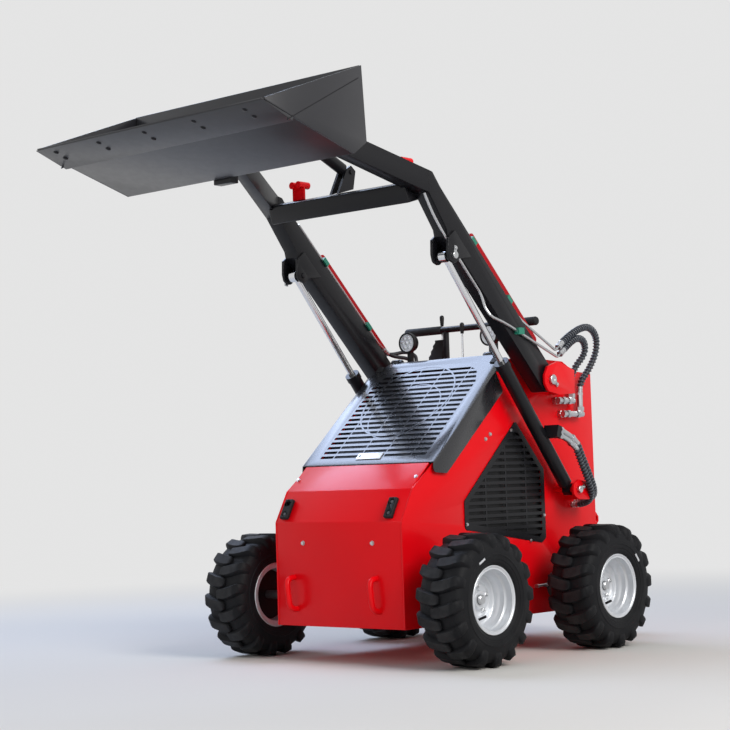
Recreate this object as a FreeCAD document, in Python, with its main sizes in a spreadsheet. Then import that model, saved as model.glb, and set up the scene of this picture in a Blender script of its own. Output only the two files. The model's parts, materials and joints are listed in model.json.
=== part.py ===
import FreeCAD, Part
import math
import os
import re
import Sketcher

# Compact stand-on skid steer loader, in millimetres: +Z up, the bucket towards -Y,
# the machine's left side towards +X. Heights are from the ground. Fore and aft
# places are measured from the middle of the wheelbase, and every piece is then
# shifted by frame_shift, so that the origin lies under the middle of the machine.

Vec = FreeCAD.Vector

# name, value in millimetres or degrees
SIZES = (
    ("wheelbase", 756), ("tyre_radius", 230.5), ("tyre_width", 184), ("wheel_gap", 117),
    ("carcass_radius", 214), ("shoulder_drop", 46), ("shoulder_width", 20), ("bead_depth", 14),
    ("lug_start", -14), ("lug_turn", 14), ("lug_half", 13), ("lug_root", 205), ("lug_shoulder", 72),
    ("lug_slope", 24), ("lug_proud", 2),
    ("rim_radius", 104), ("rim_flange", 122), ("rim_wall", 5), ("rim_lip", 5), ("rim_disc", 12),
    ("axle_radius", 17), ("axle_gap", 0.3),
    ("motor_radius", 52), ("motor_length", 66),
    ("frame_width", 616), ("frame_wall", 8), ("belly", 130), ("nose", -510),
    ("nose_top", 505), ("brow", -446), ("brow_top", 618), ("hood_foot", -343),
    ("hood_foot_top", 708), ("tail", 672), ("tail_top", 1046), ("tail_belly", 215),
    ("tail_rise", 600), ("cover_wall", 5), ("fold", 14),
    ("window_front", -162), ("window_low", 462), ("window_sill", 565), ("window_peak_y", 160),
    ("window_peak", 857),
    ("window_back", 330), ("window_eave", 673), ("window_floor", 395), ("window_lap", 15),
    ("grille_wall", 3), ("grille_margin", 22), ("grille_slot", 12), ("grille_pitch", 24), ("grille_web", 8),
    ("hood_head", 112), ("hood_head_top", 1109), ("hood_wall", 4), ("hood_gap", 10), ("hood_seam", 3),
    ("hood_shoulder", 521), ("hood_crown", 250), ("skirt_depth", 82),
    ("hood_slot", 14), ("hood_pitch", 27), ("hood_web", 5), ("hood_web_inner", 57), ("hood_web_outer", 190),
    ("field_half", 258), ("field_low", 42), ("field_top", 560), ("field_corner", 110), ("panel_edge", 10),
    ("ring_radius", 155), ("ring_web", 4), ("ring_place", 300),
    ("hinge_pin", 6), ("hinge_knuckle", 10), ("hinge_inset", 78),
    ("arm_clear", 30), ("arm_width", 64), ("pivot_y", 254), ("pivot_z", 1008),
    ("arm_boss", 50), ("arm_rise", 65), ("arm_drop", 70), ("arm_head", -353),
    ("arm_throat", -150), ("arm_knee", -318),
    ("pin_radius", 16), ("pin_gap", 0.08), ("ear_wall", 10), ("ear_gap", 6), ("ear_round", 18),
    ("ram_base_y", 404), ("ram_base_z", 592), ("ram_pin_y", -300), ("ram_pin_z", 1440),
    ("barrel_radius", 26), ("barrel_length", 590), ("rod_radius", 12.5), ("eye_radius", 22),
    ("ram_pin_radius", 11), ("eye_width", 30), ("stroke", 354), ("tilt_stroke", 114), ("ram_end", 20),
    ("ram_rest", 6),
    ("gland_rim", 3), ("gland_length", 26), ("port_y", 258), ("port_z", 799), ("port_lean", -17),
    ("port_side", 24), ("port_low", 13), ("port_high", 32), ("port_reach", 66),
    ("port_pitch", 20), ("hose_gap", 0.4),
    ("elbow", -415), ("elbow_low", 1655), ("elbow_top", 1735),
    ("lock_width", 28), ("lock_shift", -12), ("lock_head", -172), ("lock_foot", 194), ("lock_height", 70),
    ("tube_radius", 5), ("clamp_length", 34), ("clamp_wall", 7), ("hose_radius", 10),
    ("ram_hose_radius", 9), ("inner_hose_radius", 7.5),
    ("coupler_radius", 13), ("coupler_length", 55), ("coupler_spread", 32), ("coupler_rise", 55),
    ("coupler_foot", 8), ("coupler_right", -215), ("coupler_left", 290),
    ("hitch_y", -790), ("hitch_z", 1840), ("hitch_arm", 230), ("hitch_arm_width", 50),
    ("hitch_boss", 40), ("hitch_pin", 14), ("hitch_width", 540),
    ("cross_y", -430), ("cross_z", 1665), ("cross_side", 70), ("cross_lean", 16),
    ("tilt_base_y", -400), ("tilt_base_z", 1780), ("tilt_pin_y", -790), ("tilt_pin_z", 1950),
    ("tilt_barrel_radius", 22), ("tilt_barrel_length", 235), ("tilt_rod_radius", 10),
    ("tilt_eye_radius", 17), ("tilt_pin_radius", 9), ("tilt_eye_width", 26), ("side_gap", 0.3),
    ("bucket_width", 1108), ("bucket_wall", 6), ("lip", -1390), ("lip_top", 1827),
    ("heel", -976), ("heel_low", 1705), ("back_foot", -912), ("back_foot_top", 1750),
    ("back_head", -928), ("back_top", 2002), ("edge_depth", 135), ("edge_wall", 12),
    ("engine_inset", 90), ("engine_length", 360), ("engine_height", 380), ("engine_front", 60),
    ("tank_inset", 120), ("tank_length", 300), ("tank_height", 230), ("tank_front", -400),
    ("cooler_place", 120), ("cooler_length", 340), ("cooler_depth", 60), ("cooler_wall", 50),
    ("platform_hinge_z", 262), ("platform_length", 226), ("platform_inset", 93),
    ("platform_wall", 26), ("platform_gap", 20), ("platform_pin", 8), ("step_hinge", 150), ("step_ear", 36),
    ("lamp_radius", 36), ("lamp_depth", 40), ("lamp_inset", 104), ("lamp_y", 170), ("lamp_z", 1188),
    ("bar_radius", 14), ("bar_overhang", 20), ("bar_y", 300), ("bar_z", 1240), ("post_x", 122),
    ("post_side", 24),
    ("lever_x", -165), ("lever_y", 330), ("lever_top", 1303), ("stem_radius", 4), ("knob_radius", 9),
    ("knob_length", 45),
    ("boot_low_x", -227), ("boot_length", 91), ("boot_width", 56), ("boot_top", 1203),
    ("drive_lever_y", 250), ("drive_lever_top", 1258),
    ("handle_radius", 7), ("handle_reach", 42), ("handle_height", 130), ("handle_inset", 118),
    ("handle_z", 248),
    ("pad_inset", 68), ("pad_width", 44), ("pad_depth", 14), ("pad_height", 84),
    ("lug_wall", 12), ("lug_eye", 14), ("lug_z", 470), ("lug_inset", 28),
)

# name, the expression that its cell works out
FORMULAS = (
    ("arm_middle", "frame_width / 2 + arm_clear + arm_width / 2"),
    ("arm_back", "pivot_y + pivot_z + arm_rise"),
    ("arm_front", "pivot_y + pivot_z - arm_drop"),
    ("wheel_track", "frame_width + 2 * wheel_gap + tyre_width"),
    ("hood_width", "frame_width + 2 * (hood_gap + hood_wall)"),
    ("hood_slope", "atan2(hood_head_top - hood_foot_top; hood_head - hood_foot)"),
    ("hood_length", "sqrt((hood_head - hood_foot)^2 + (hood_head_top - hood_foot_top)^2)"),
    ("hinge_x", "frame_width / 2 - hinge_inset"),
    ("deck_top", "tail_top + 47"),
    ("frame_shift", "-(lip + tail + platform_gap + platform_length) / 2"),
)

NAMES = {name for name, _ in SIZES + FORMULAS}
document = FreeCAD.newDocument("stand_on_loader")
sheet = document.addObject("Spreadsheet::Sheet", "sizes")
for row, (name, content) in enumerate(SIZES + FORMULAS, start=1):
    sheet.set("A%d" % row, name)
    sheet.set("B%d" % row, "=" + content if isinstance(content, str) else str(content))
    sheet.setAlias("B%d" % row, name)
document.recompute()

SUB_PARTS = []


def bound(text):
    """Return an expression in which each size's name points at its cell."""
    def pointed(word):
        """Give one word, led by the sheet's name where it is a size."""
        return "sizes." + word.group(0) if word.group(0) in NAMES else word.group(0)
    return re.sub(r"[a-z_]+", pointed, str(text))


def value(text):
    """Work an expression out from the sheet, as a plain number."""
    result = sheet.evalExpression(bound(text))
    return float(getattr(result, "Value", result))


def keep(thing, label):
    """Give a sub-part its label and place, and note it for the export."""
    if thing.TypeId in ("Part::Box", "Part::Cylinder", "Part::Prism", "Part::Feature"):
        thing = grouped([thing])
    thing.Label = label
    thing.setExpression("Placement.Base.y", bound("frame_shift"))
    SUB_PARTS.append(thing)
    return thing


def new_body():
    """Start an empty body."""
    return document.addObject("PartDesign::Body", "Body")


def new_sketch(body, role, offset, outlines):
    """Draw closed outlines of straight lines, each corner bound to the sheet."""
    sketch = body.newObject("Sketcher::SketchObject", "Sketch")
    plane = [item for item in body.Origin.OriginFeatures if item.Role == role][0]
    sketch.AttachmentSupport = [(plane, "")]
    sketch.MapMode = "FlatFace"
    sketch.setExpression("AttachmentOffset.Base.z", bound(offset))
    for outline in outlines:
        first = sketch.GeometryCount
        corners = [(value(across), value(up)) for across, up in outline]
        count = len(corners)
        for index, corner in enumerate(corners):
            after = corners[(index + 1) % count]
            sketch.addGeometry(Part.LineSegment(Vec(*corner, 0), Vec(*after, 0)), False)
        for index in range(count):
            sketch.addConstraint(Sketcher.Constraint("Coincident", first + index, 2,
                                                     first + (index + 1) % count, 1))
        for index, (across, up) in enumerate(outline):
            for kind, text, number in (("DistanceX", across, corners[index][0]),
                                       ("DistanceY", up, corners[index][1])):
                place = sketch.addConstraint(Sketcher.Constraint(kind, -1, 1, first + index, 1, number))
                sketch.setExpression("Constraints[%d]" % place, bound(text))
    return sketch


def pad(body, role, offset, length, outlines):
    """Pad outlines along their plane's normal from an offset."""
    feature = body.newObject("PartDesign::Pad", "Pad")
    feature.Profile = new_sketch(body, role, offset, outlines)
    feature.setExpression("Length", bound(length))
    return feature


def side_plate(body, side, inner, wall, outlines):
    """Pad (y, z) outlines between inner and inner + wall on one side of the machine."""
    offset = "(%s)" % inner if side > 0 else "-(%s) - (%s)" % (inner, wall)
    return pad(body, "YZ_Plane", offset, wall, outlines)


def turned(body, profile):
    """Turn an (x, radius) outline round the body's own X axis."""
    feature = body.newObject("PartDesign::Revolution", "Revolution")
    sketch = new_sketch(body, "XZ_Plane", "0", [profile])
    feature.Profile = sketch
    feature.ReferenceAxis = (sketch, ["H_Axis"])
    feature.Angle = 360
    return feature


def drill(body, offset, depth, holes):
    """Cut round (y, z, radius) holes back along -X from an offset."""
    sketch = new_sketch(body, "YZ_Plane", offset, [])
    for index, (across, up, radius) in enumerate(holes):
        sketch.addGeometry(Part.Circle(Vec(value(across), value(up), 0), Vec(0, 0, 1), value(radius)), False)
        for kind, text, at in (("DistanceX", across, (-1, 1, index, 3)), ("DistanceY", up, (-1, 1, index, 3)),
                               ("Radius", radius, (index,))):
            place = sketch.addConstraint(Sketcher.Constraint(kind, *at, value(text)))
            sketch.setExpression("Constraints[%d]" % place, bound(text))
    document.recompute()
    before = body.Shape.Volume
    feature = body.newObject("PartDesign::Pocket", "Pocket")
    feature.Profile = sketch
    feature.setExpression("Length", bound(depth))
    document.recompute()
    if body.Shape.Volume >= before:
        raise RuntimeError("a hole cuts nothing")


def rounded(body, corners, radius):
    """Round the body's edges that run along X through (y, z) corners."""
    document.recompute()
    base = body.Tip
    places = [(value(across), value(up)) for across, up in corners]
    names = []
    for index, edge in enumerate(base.Shape.Edges, start=1):
        ends = [vertex.Point for vertex in edge.Vertexes]
        if len(ends) == 2 and any(all(math.hypot(end.y - y, end.z - z) < 0.01 for end in ends)
                                  for y, z in places):
            names.append("Edge%d" % index)
    feature = body.newObject("PartDesign::Fillet", "Fillet")
    feature.Base = (base, names)
    feature.setExpression("Radius", bound(radius))
    document.recompute()
    if len(names) < len(corners) or feature.Shape.isNull():
        raise RuntimeError("a corner isn't rounded")


def cylinder(radius, length, base, direction):
    """Make a bound cylinder from a point along a direction."""
    item = document.addObject("Part::Cylinder", "Cylinder")
    item.setExpression("Radius", bound(radius))
    item.setExpression("Height", bound(length))
    item.Placement = FreeCAD.Placement(Vec(*[value(part) for part in base]),
                                       FreeCAD.Rotation(Vec(0, 0, 1), Vec(*direction)))
    return item


def prism(sides, radius, length, base, direction):
    """Make a bound prism, flat side to flat side twice the radius, from a point along a direction."""
    item = document.addObject("Part::Prism", "Prism")
    item.Polygon = sides
    item.setExpression("Circumradius", bound("(%s) / cos(180 / %d)" % (radius, sides)))
    item.setExpression("Height", bound(length))
    turn = FreeCAD.Rotation(Vec(0, 0, 1), Vec(*direction))
    item.Placement = FreeCAD.Placement(Vec(*[value(part) for part in base]),
                                       turn.multiply(FreeCAD.Rotation(Vec(0, 0, 1), 180 / sides)))
    return item


def rod_between(sides, radius, start, end):
    """Make a straight prism from one (x, y, z) point to another."""
    begin, finish = [[value(part) for part in point] for point in (start, end)]
    return prism(sides, radius, str(math.dist(begin, finish)), start, [b - a for a, b in zip(begin, finish)])


def swept(label, sides, radius, points):
    """Sweep a section along straight runs joined by arcs, tangent to both."""
    corners = [Vec(*[value(part) for part in point]) for point in points]
    edges = []
    radii = []
    start = corners[0]
    for before, corner, following in zip(corners, corners[1:], corners[2:]):
        inward, outward = (before - corner), (following - corner)
        half_turn = (math.pi - inward.getAngle(outward)) / 2
        if half_turn < 0.01:
            continue
        cutback = 0.45 * min(inward.Length, outward.Length)
        radii.append(cutback / math.tan(half_turn))
        first = corner + inward.normalize() * cutback
        last = corner + outward.normalize() * cutback
        bisector = (inward + outward).normalize()
        middle = corner + bisector * (radii[-1] / math.cos(half_turn) - radii[-1])
        edges += [Part.makeLine(start, first), Part.Arc(first, middle, last).toShape()]
        start = last
    edges.append(Part.makeLine(start, corners[-1]))
    spine = Part.Wire(edges)
    along = corners[1] - corners[0]
    turn = FreeCAD.Rotation(Vec(0, 0, 1), along)
    angles = [2 * math.pi * step / sides for step in range(sides)]
    ring = [corners[0] + turn.multVec(Vec(math.cos(angle), math.sin(angle), 0)) * value(radius)
            for angle in angles]
    profile = Part.makePolygon(ring + ring[:1])
    item = document.addObject("Part::Feature", "Sweep")
    item.Shape = spine.makePipeShell([profile], True, False)
    section = sides / 2 * math.sin(2 * math.pi / sides) * value(radius) ** 2
    share = item.Shape.Volume / (section * spine.Length)
    measures = (label, spine.Length, min(radii, default=0), share)
    print("%-26s length %.0f tightest bend %.0f volume share %.3f" % measures)
    if abs(share - 1) > 0.03:
        raise RuntimeError("%s isn't swept evenly" % label)
    return item


def box(size, corner):
    """Make a bound box with its low corner at a point."""
    item = document.addObject("Part::Box", "Box")
    for key, text in zip(("Length", "Width", "Height"), size):
        item.setExpression(key, bound(text))
    for key, text in zip("xyz", corner):
        item.setExpression("Placement.Base." + key, bound(text))
    return item


def fused(pieces):
    """Fuse several pieces into one."""
    item = document.addObject("Part::MultiFuse", "Fusion")
    item.Shapes = pieces
    return item


def cut(base, tool):
    """Cut one piece with another."""
    item = document.addObject("Part::Cut", "Cut")
    item.Base = base
    item.Tool = tool
    return item


def common(first, second):
    """Keep what two pieces share."""
    item = document.addObject("Part::MultiCommon", "Common")
    item.Shapes = [first, second]
    return item


def grouped(pieces):
    """Hold separate solids of one sub-part together."""
    item = document.addObject("Part::Compound", "Group")
    item.Links = pieces
    return item


SIDES = (("left", 1), ("right", -1))
AXLES = (("front", -1), ("rear", 1))
FACETS = 32
LUGS = 16


def window_outline(lap):
    """Give the side window's corners, drawn in by a lap."""
    return [("window_front + %s" % lap, "window_low + %s" % lap),
            ("window_front + %s" % lap, "window_sill - %s * 0.4" % lap),
            ("window_peak_y", "window_peak - %s * 1.4" % lap),
            ("window_back - %s" % lap, "window_eave - %s * 0.4" % lap),
            ("window_back - %s" % lap, "window_floor + 16 + %s" % lap),
            ("window_back - 27 - %s * 0.6" % lap, "window_floor + %s" % lap)]


def make_side_plates():
    """Cut the two frame sides, each in one piece up to its tower."""
    outline = [("nose", "belly"), ("nose", "nose_top"), ("brow", "brow_top"),
               ("hood_foot", "hood_foot_top - 14"),
               ("hood_head", "hood_head_top - 24"), ("hood_head + 90", "tail_top + 54"),
               ("tail - 190", "tail_top + 44"),
               ("tail - 115", "tail_top + 8"), ("tail", "tail_top"), ("tail", "tail_belly"),
               ("tail_rise", "belly")]
    window = window_outline("window_lap")
    plates = []
    for _, side in SIDES:
        body = new_body()
        side_plate(body, side, "frame_width / 2 - frame_wall", "frame_wall", [outline, window])
        rounded(body, outline[1:3] + outline[4:8] + window, "fold")
        plates.append(body)
    keep(grouped(plates), "side_plates")


def make_side_grilles():
    """Bolt a slotted panel over each of the frame's side windows."""
    grilles = []
    rows = int(value("window_peak - window_floor") // value("grille_pitch"))
    for _, side in SIDES:
        panel = new_body()
        side_plate(panel, side, "frame_width / 2", "grille_wall", [window_outline("0")])
        rounded(panel, window_outline("0"), "fold")
        field = new_body()
        side_plate(field, side, "frame_width / 2 - 1", "grille_wall + 2", [window_outline("grille_margin")])
        low = "frame_width / 2 - 2" if side > 0 else "-frame_width / 2 - grille_wall - 2"
        bars = []
        for row in range(rows):
            level = "window_floor + grille_margin + grille_pitch * %d" % row
            bars.append(box(("grille_wall + 4", "window_back - window_front", "grille_slot"),
                            (low, "window_front", level)))
        webs = []
        for quarter in (1, 2, 3):
            place = "window_front + (window_back - window_front) * %d / 4" % quarter
            webs.append(box(("grille_wall + 4", "grille_web", "window_peak - window_floor"),
                            (low, place, "window_floor")))
        slots = common(cut(grouped(bars), fused(webs)), field)
        grilles.append(cut(panel, slots))
    keep(grouped(grilles), "side_grilles")


def make_nose_cover():
    """Fold the nose sheet over its three faces."""
    body = new_body()
    outline = [("nose", "belly"), ("nose", "nose_top"), ("brow", "brow_top"), ("hood_foot", "hood_foot_top"),
               ("hood_foot + cover_wall", "hood_foot_top - cover_wall"),
               ("brow + cover_wall", "brow_top - cover_wall / 2"),
               ("nose + cover_wall", "nose_top - cover_wall / 2"), ("nose + cover_wall", "belly")]
    pad(body, "YZ_Plane", "frame_wall - frame_width / 2", "frame_width - 2 * frame_wall", [outline])
    rounded(body, outline[1:3], "fold")
    rounded(body, outline[5:7], "fold - cover_wall")
    keep(body, "nose_cover")


def make_belly_and_tail():
    """Close the frame's floor and back."""
    inside = "frame_width - 2 * frame_wall"
    corner = "frame_wall - frame_width / 2"
    keep(box((inside, "tail_rise - nose - cover_wall", "cover_wall"),
             (corner, "nose + cover_wall", "belly")), "belly_plate")
    body = new_body()
    outline = [("tail", "tail_belly"), ("tail", "tail_top"), ("tail - cover_wall", "tail_top"),
               ("tail - cover_wall", "tail_belly + 2"), ("tail_rise", "belly + cover_wall"),
               ("tail_rise", "belly")]
    pad(body, "YZ_Plane", corner, inside, [outline])
    keep(body, "tail_plate")


def make_tower_top():
    """Fold the console deck that joins the two towers."""
    body = new_body()
    outline = [("hood_head + 24", "hood_head_top - 30"), ("hood_head + 90", "tail_top + 50"),
               ("tail - 190", "tail_top + 40"),
               ("tail - 115", "tail_top + 4"), ("tail - cover_wall", "tail_top - 4"),
               ("tail - cover_wall", "tail_top - 9"),
               ("tail - 116", "tail_top - 2"), ("tail - 192", "tail_top + 34"),
               ("hood_head + 93", "tail_top + 44"),
               ("hood_head + 28", "hood_head_top - 36")]
    pad(body, "YZ_Plane", "frame_wall - frame_width / 2", "frame_width - 2 * frame_wall", [outline])
    keep(grouped([body]), "console_deck")
    return body


def make_engine():
    """Stand the engine and the tank in the frame as plain masses, and hang the oil cooler under the hood."""
    for label, piece in (("engine_block", "engine"), ("hydraulic_tank", "tank")):
        width = "frame_width - 2 * frame_wall - 2 * %s_inset" % piece
        keep(box((width, piece + "_length", piece + "_height"),
                 ("-(%s) / 2" % width, piece + "_front", "belly + cover_wall")), label)
    cooler = new_body()
    outline = [("cooler_place", "-cooler_depth"), ("cooler_place + cooler_length", "-cooler_depth"),
               ("cooler_place + cooler_length", "-cooler_depth - cooler_wall"),
               ("cooler_place", "-cooler_depth - cooler_wall")]
    pad(cooler, "YZ_Plane", "frame_wall - frame_width / 2", "frame_width - 2 * frame_wall", [outline])
    keep(grouped([on_slope(cooler)]), "oil_cooler")


def on_slope(thing):
    """Lay a piece drawn flat, up the hood from its foot along Y, on the hood's slope."""
    thing.Placement = FreeCAD.Placement(Vec(0, value("hood_foot"), value("hood_foot_top")),
                                        FreeCAD.Rotation(Vec(1, 0, 0), value("hood_slope")))
    return thing


def make_hood():
    """Fold the sloping hood with its skirts, and slot the grille in its middle."""
    half, crown = "hood_width / 2", "hood_crown"
    sheet_outline = [("-" + half, "hood_seam"), (half, "hood_seam"), (half, "hood_shoulder"),
                     (crown, "hood_length"),
                     ("-" + crown, "hood_length"), ("-" + half, "hood_shoulder")]
    panel_outline = [("-field_half - panel_edge", "field_low - panel_edge"),
                     ("field_half + panel_edge", "field_low - panel_edge"),
                     ("field_half + panel_edge", "field_top + panel_edge"),
                     ("-field_half - panel_edge", "field_top + panel_edge")]
    body = new_body()
    pad(body, "XY_Plane", "-hood_wall", "hood_wall", [sheet_outline, panel_outline])
    skirt = [("hood_seam", "0"), ("-24", "-26"), ("29", "3 - skirt_depth"),
             ("hood_shoulder - 35", "-skirt_depth - 3"),
             ("hood_shoulder - 17", "0")]
    for side in (1, -1):
        side_plate(body, side, half + " - hood_wall", "hood_wall", [skirt])
    rounded(body, skirt[1:4], "fold")
    on_slope(body)
    knuckles = []
    hinges = []
    hinge_y, hinge_z = "(hood_head + 10)", "(hood_head_top + 3)"
    for side in (1, -1):
        middle = "%d * hinge_x" % side
        knuckles.append(cylinder("hinge_knuckle", "26", (middle + " - 13", hinge_y, hinge_z), (1, 0, 0)))
        pieces = [cylinder("hinge_pin", "56", (middle + " - 28", hinge_y, hinge_z), (1, 0, 0))]
        for inner in ("hinge_x - 25", "hinge_x + 15"):
            ear = new_body()
            side_plate(ear, side, inner, "ear_wall",
                       [[(hinge_y + " - 9", hinge_z), (hinge_y, hinge_z + " + 9"),
                         (hinge_y + " + 9", hinge_z + " + 3"),
                         ("hood_head + 52", "hood_head_top - 21"), ("hood_head + 26", "hood_head_top - 29")]])
            pieces.append(ear)
        hinges.append(fused(pieces))
    bore = cylinder("hinge_pin + pin_gap", "hood_width", ("-hood_width / 2", hinge_y, hinge_z), (1, 0, 0))
    keep(cut(fused([body] + knuckles), bore), "hood_shell")
    keep(grouped(hinges), "hood_hinges")
    keep(grouped([on_slope(make_hood_grille(panel_outline))]), "hood_grille")


def make_hood_grille(panel_outline):
    """Slot the hood's flat panel: rows across, webs up it and one ring web for the fan's guard."""
    panel = new_body()
    pad(panel, "XY_Plane", "-hood_wall", "hood_wall", [panel_outline])
    field = new_body()
    field_outline = [("-field_half", "field_low"), ("field_half", "field_low"),
                     ("field_half", "field_top - field_corner"),
                     ("field_half - field_corner * 0.3", "field_top - field_corner * 0.35"),
                     ("field_half - field_corner", "field_top"),
                     ("field_corner - field_half", "field_top"),
                     ("field_corner * 0.3 - field_half", "field_top - field_corner * 0.35"),
                     ("-field_half", "field_top - field_corner")]
    pad(field, "XY_Plane", "-hood_wall - 2", "hood_wall + 4", [field_outline])
    rows = int(value("field_top - field_low - hood_slot") // value("hood_pitch")) + 1
    bars = []
    for row in range(rows):
        place = "field_low + hood_pitch * %d" % row
        bars.append(box(("2 * field_half", "hood_slot", "hood_wall + 2"),
                        ("-field_half", place, "-hood_wall - 1")))
    webs = []
    for place in ("-hood_web_outer", "-hood_web_inner", "hood_web_inner", "hood_web_outer"):
        corner = (place + " - hood_web / 2", "0", "-hood_wall - 2")
        webs.append(box(("hood_web", "field_top", "hood_wall + 4"), corner))
    middle = ("0", "ring_place", "-hood_wall - 2")
    ring = cut(prism(FACETS, "ring_radius", "hood_wall + 4", middle, (0, 0, 1)),
               prism(FACETS, "ring_radius - ring_web", "hood_wall + 4", middle, (0, 0, 1)))
    return cut(panel, common(cut(grouped(bars), fused(webs + [ring])), field))


def make_lift_arms():
    """Cut the two lift arms from the pivot up to the elbow, with the ears of the rod's pin."""
    arms = []
    for _, side in SIDES:
        body = new_body()
        outline = [("pivot_y - 20", "pivot_z - arm_boss + 4"), ("pivot_y + 24", "pivot_z - arm_boss + 6"),
                   ("pivot_y + arm_boss - 4", "pivot_z - 18"),
                   ("pivot_y + arm_boss - 6", "arm_back - pivot_y - arm_boss + 6"),
                   ("arm_head", "arm_back - arm_head"),
                   ("elbow + 21", "elbow_top - 5"), ("elbow", "elbow_top"), ("elbow", "elbow_low"),
                   ("arm_knee - 6", "arm_front - arm_knee + 25"), ("arm_knee", "arm_front - arm_knee"),
                   ("arm_throat", "arm_front - arm_throat"), ("pivot_y - arm_boss", "pivot_z - 18")]
        side_plate(body, side, "arm_middle - arm_width / 2", "arm_width", [outline])
        rounded(body, outline[:4] + outline[-1:], "ear_round")
        face = "arm_middle + arm_width / 2" if side > 0 else "arm_width / 2 - arm_middle"
        drill(body, face, "arm_width", [("pivot_y", "pivot_z", "pin_radius + pin_gap")])
        arms.append(body)
    keep(grouped(arms), "lift_arms")


def make_lock_bars():
    """Lay the brace that locks a raised ram along the back of each arm."""
    bars = []
    for _, side in SIDES:
        body = new_body()
        outline = [("lock_head", "arm_back - lock_head"), ("lock_foot", "arm_back - lock_foot"),
                   ("lock_foot + lock_height * 0.64", "arm_back - lock_foot + lock_height * 0.36"),
                   ("lock_head + lock_height * 0.36", "arm_back - lock_head + lock_height * 0.64")]
        pad(body, "YZ_Plane", "%d * arm_middle + lock_shift - lock_width / 2" % side, "lock_width", [outline])
        rounded(body, outline[2:], "fold")
        bars.append(body)
    keep(grouped(bars), "lock_bars")


def make_arm_tubes():
    """Run two oil tubes down each arm, the left's to its outer face, with their clamps."""
    front = "arm_front - 1.42 * tube_radius"
    back = "arm_back + 1.42 * tube_radius"
    outside = "arm_middle + arm_width / 2 + tube_radius + 4"
    middle = "arm_middle + eye_width / 2 + tube_radius + 3"
    inner, outer = "26.5 - arm_middle", "10 - arm_middle"
    # x, y, z from the elbow down
    runs = (("left_front", ((middle, "elbow - 17", "elbow_low - 2"),
                            (middle, "elbow + 23", "elbow_low - 67"), (middle, "-335", "%s + 335" % front),
                            (middle, "-124", "%s + 124" % front), (middle + " + 3", "-110", "1262"),
                            (outside, "-94", "1230"),
                            (outside, "-13", "1210"), (outside, "306", "1095"), (outside, "322", "1106.3"))),
            ("left_back", (("arm_middle + 18", "arm_head + 20", "%s - arm_head - 20" % back),
                           ("arm_middle + 18", "100", "%s - 100" % back),
                           (outside, "172", "1182"), (outside, "296", "1120"), (outside, "312", "1132"))),
            ("right_inner", ((inner, "arm_head + 50", "%s - arm_head - 50" % back),
                             (inner, "140", "%s - 140" % back), (inner, "173", "%s - 162" % back))),
            ("right_outer", ((outer, "arm_head + 50", "%s - arm_head - 50" % back),
                             (outer, "140", "%s - 140" % back), (outer, "173", "%s - 162" % back))))
    tubes = {label: swept("tube " + label, 8, "tube_radius", points) for label, points in runs}
    keep(grouped(list(tubes.values())), "arm_tubes")
    clamps = []
    outer_face = "arm_middle + arm_width / 2"
    clamps.append(cut(box(("2 * tube_radius + clamp_wall + 4", "clamp_length",
                           "2 * tube_radius + 2 * clamp_wall"),
                          (outer_face, "71 - clamp_length / 2", "1184 - tube_radius - clamp_wall")),
                          tubes["left_front"]))
    for label, low_x, width, places in (("left_back", "arm_middle + 18 - tube_radius - clamp_wall",
                                         "2 * tube_radius + 2 * clamp_wall", ("-181", "20")),
                                        ("right_inner", outer + " - tube_radius - 1",
                                         "2 * tube_radius + 18 + clamp_wall", ("-181", "60"))):
        for place in places:
            turn = FreeCAD.Rotation(Vec(1, 0, 0), -45)
            item = document.addObject("Part::Box", "Box")
            for key, text in zip(("Length", "Width", "Height"),
                                 (width, "clamp_length", "2 * tube_radius + clamp_wall")):
                item.setExpression(key, bound(text))
            seat = Vec(value(low_x), value(place), value("arm_back") - value(place))
            item.Placement = FreeCAD.Placement(seat, turn)
            pair = [tubes["right_inner"], tubes["right_outer"]]
            held = tubes[label] if label == "left_back" else grouped(pair)
            clamps.append(cut(item, held))
    keep(grouped(clamps), "tube_clamps")


def make_couplers():
    """Stand a pair of quick couplers on each end of the crosstube."""
    pairs = []
    for middle, rise in (("coupler_right", "coupler_rise"), ("coupler_left", "coupler_rise + 20")):
        seat = "cross_z + cross_side / 2 / cos(cross_lean) + coupler_foot / 2 * tan(cross_lean)"
        level = "%s + %s" % (seat, rise)
        foot = box(("2 * coupler_radius + coupler_spread", "coupler_foot", rise),
                   ("%s - coupler_radius - coupler_spread / 2" % middle, "cross_y - coupler_foot / 2", seat))
        pieces = [foot]
        for step in ("-", "+"):
            pieces.append(prism(12, "coupler_radius", "coupler_length",
                                ("%s %s coupler_spread / 2" % (middle, step),
                                 "cross_y - coupler_length * 0.4", level), (0, 1, 0)))
        pairs.append(fused(pieces))
    keep(grouped(pairs), "quick_couplers")


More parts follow.
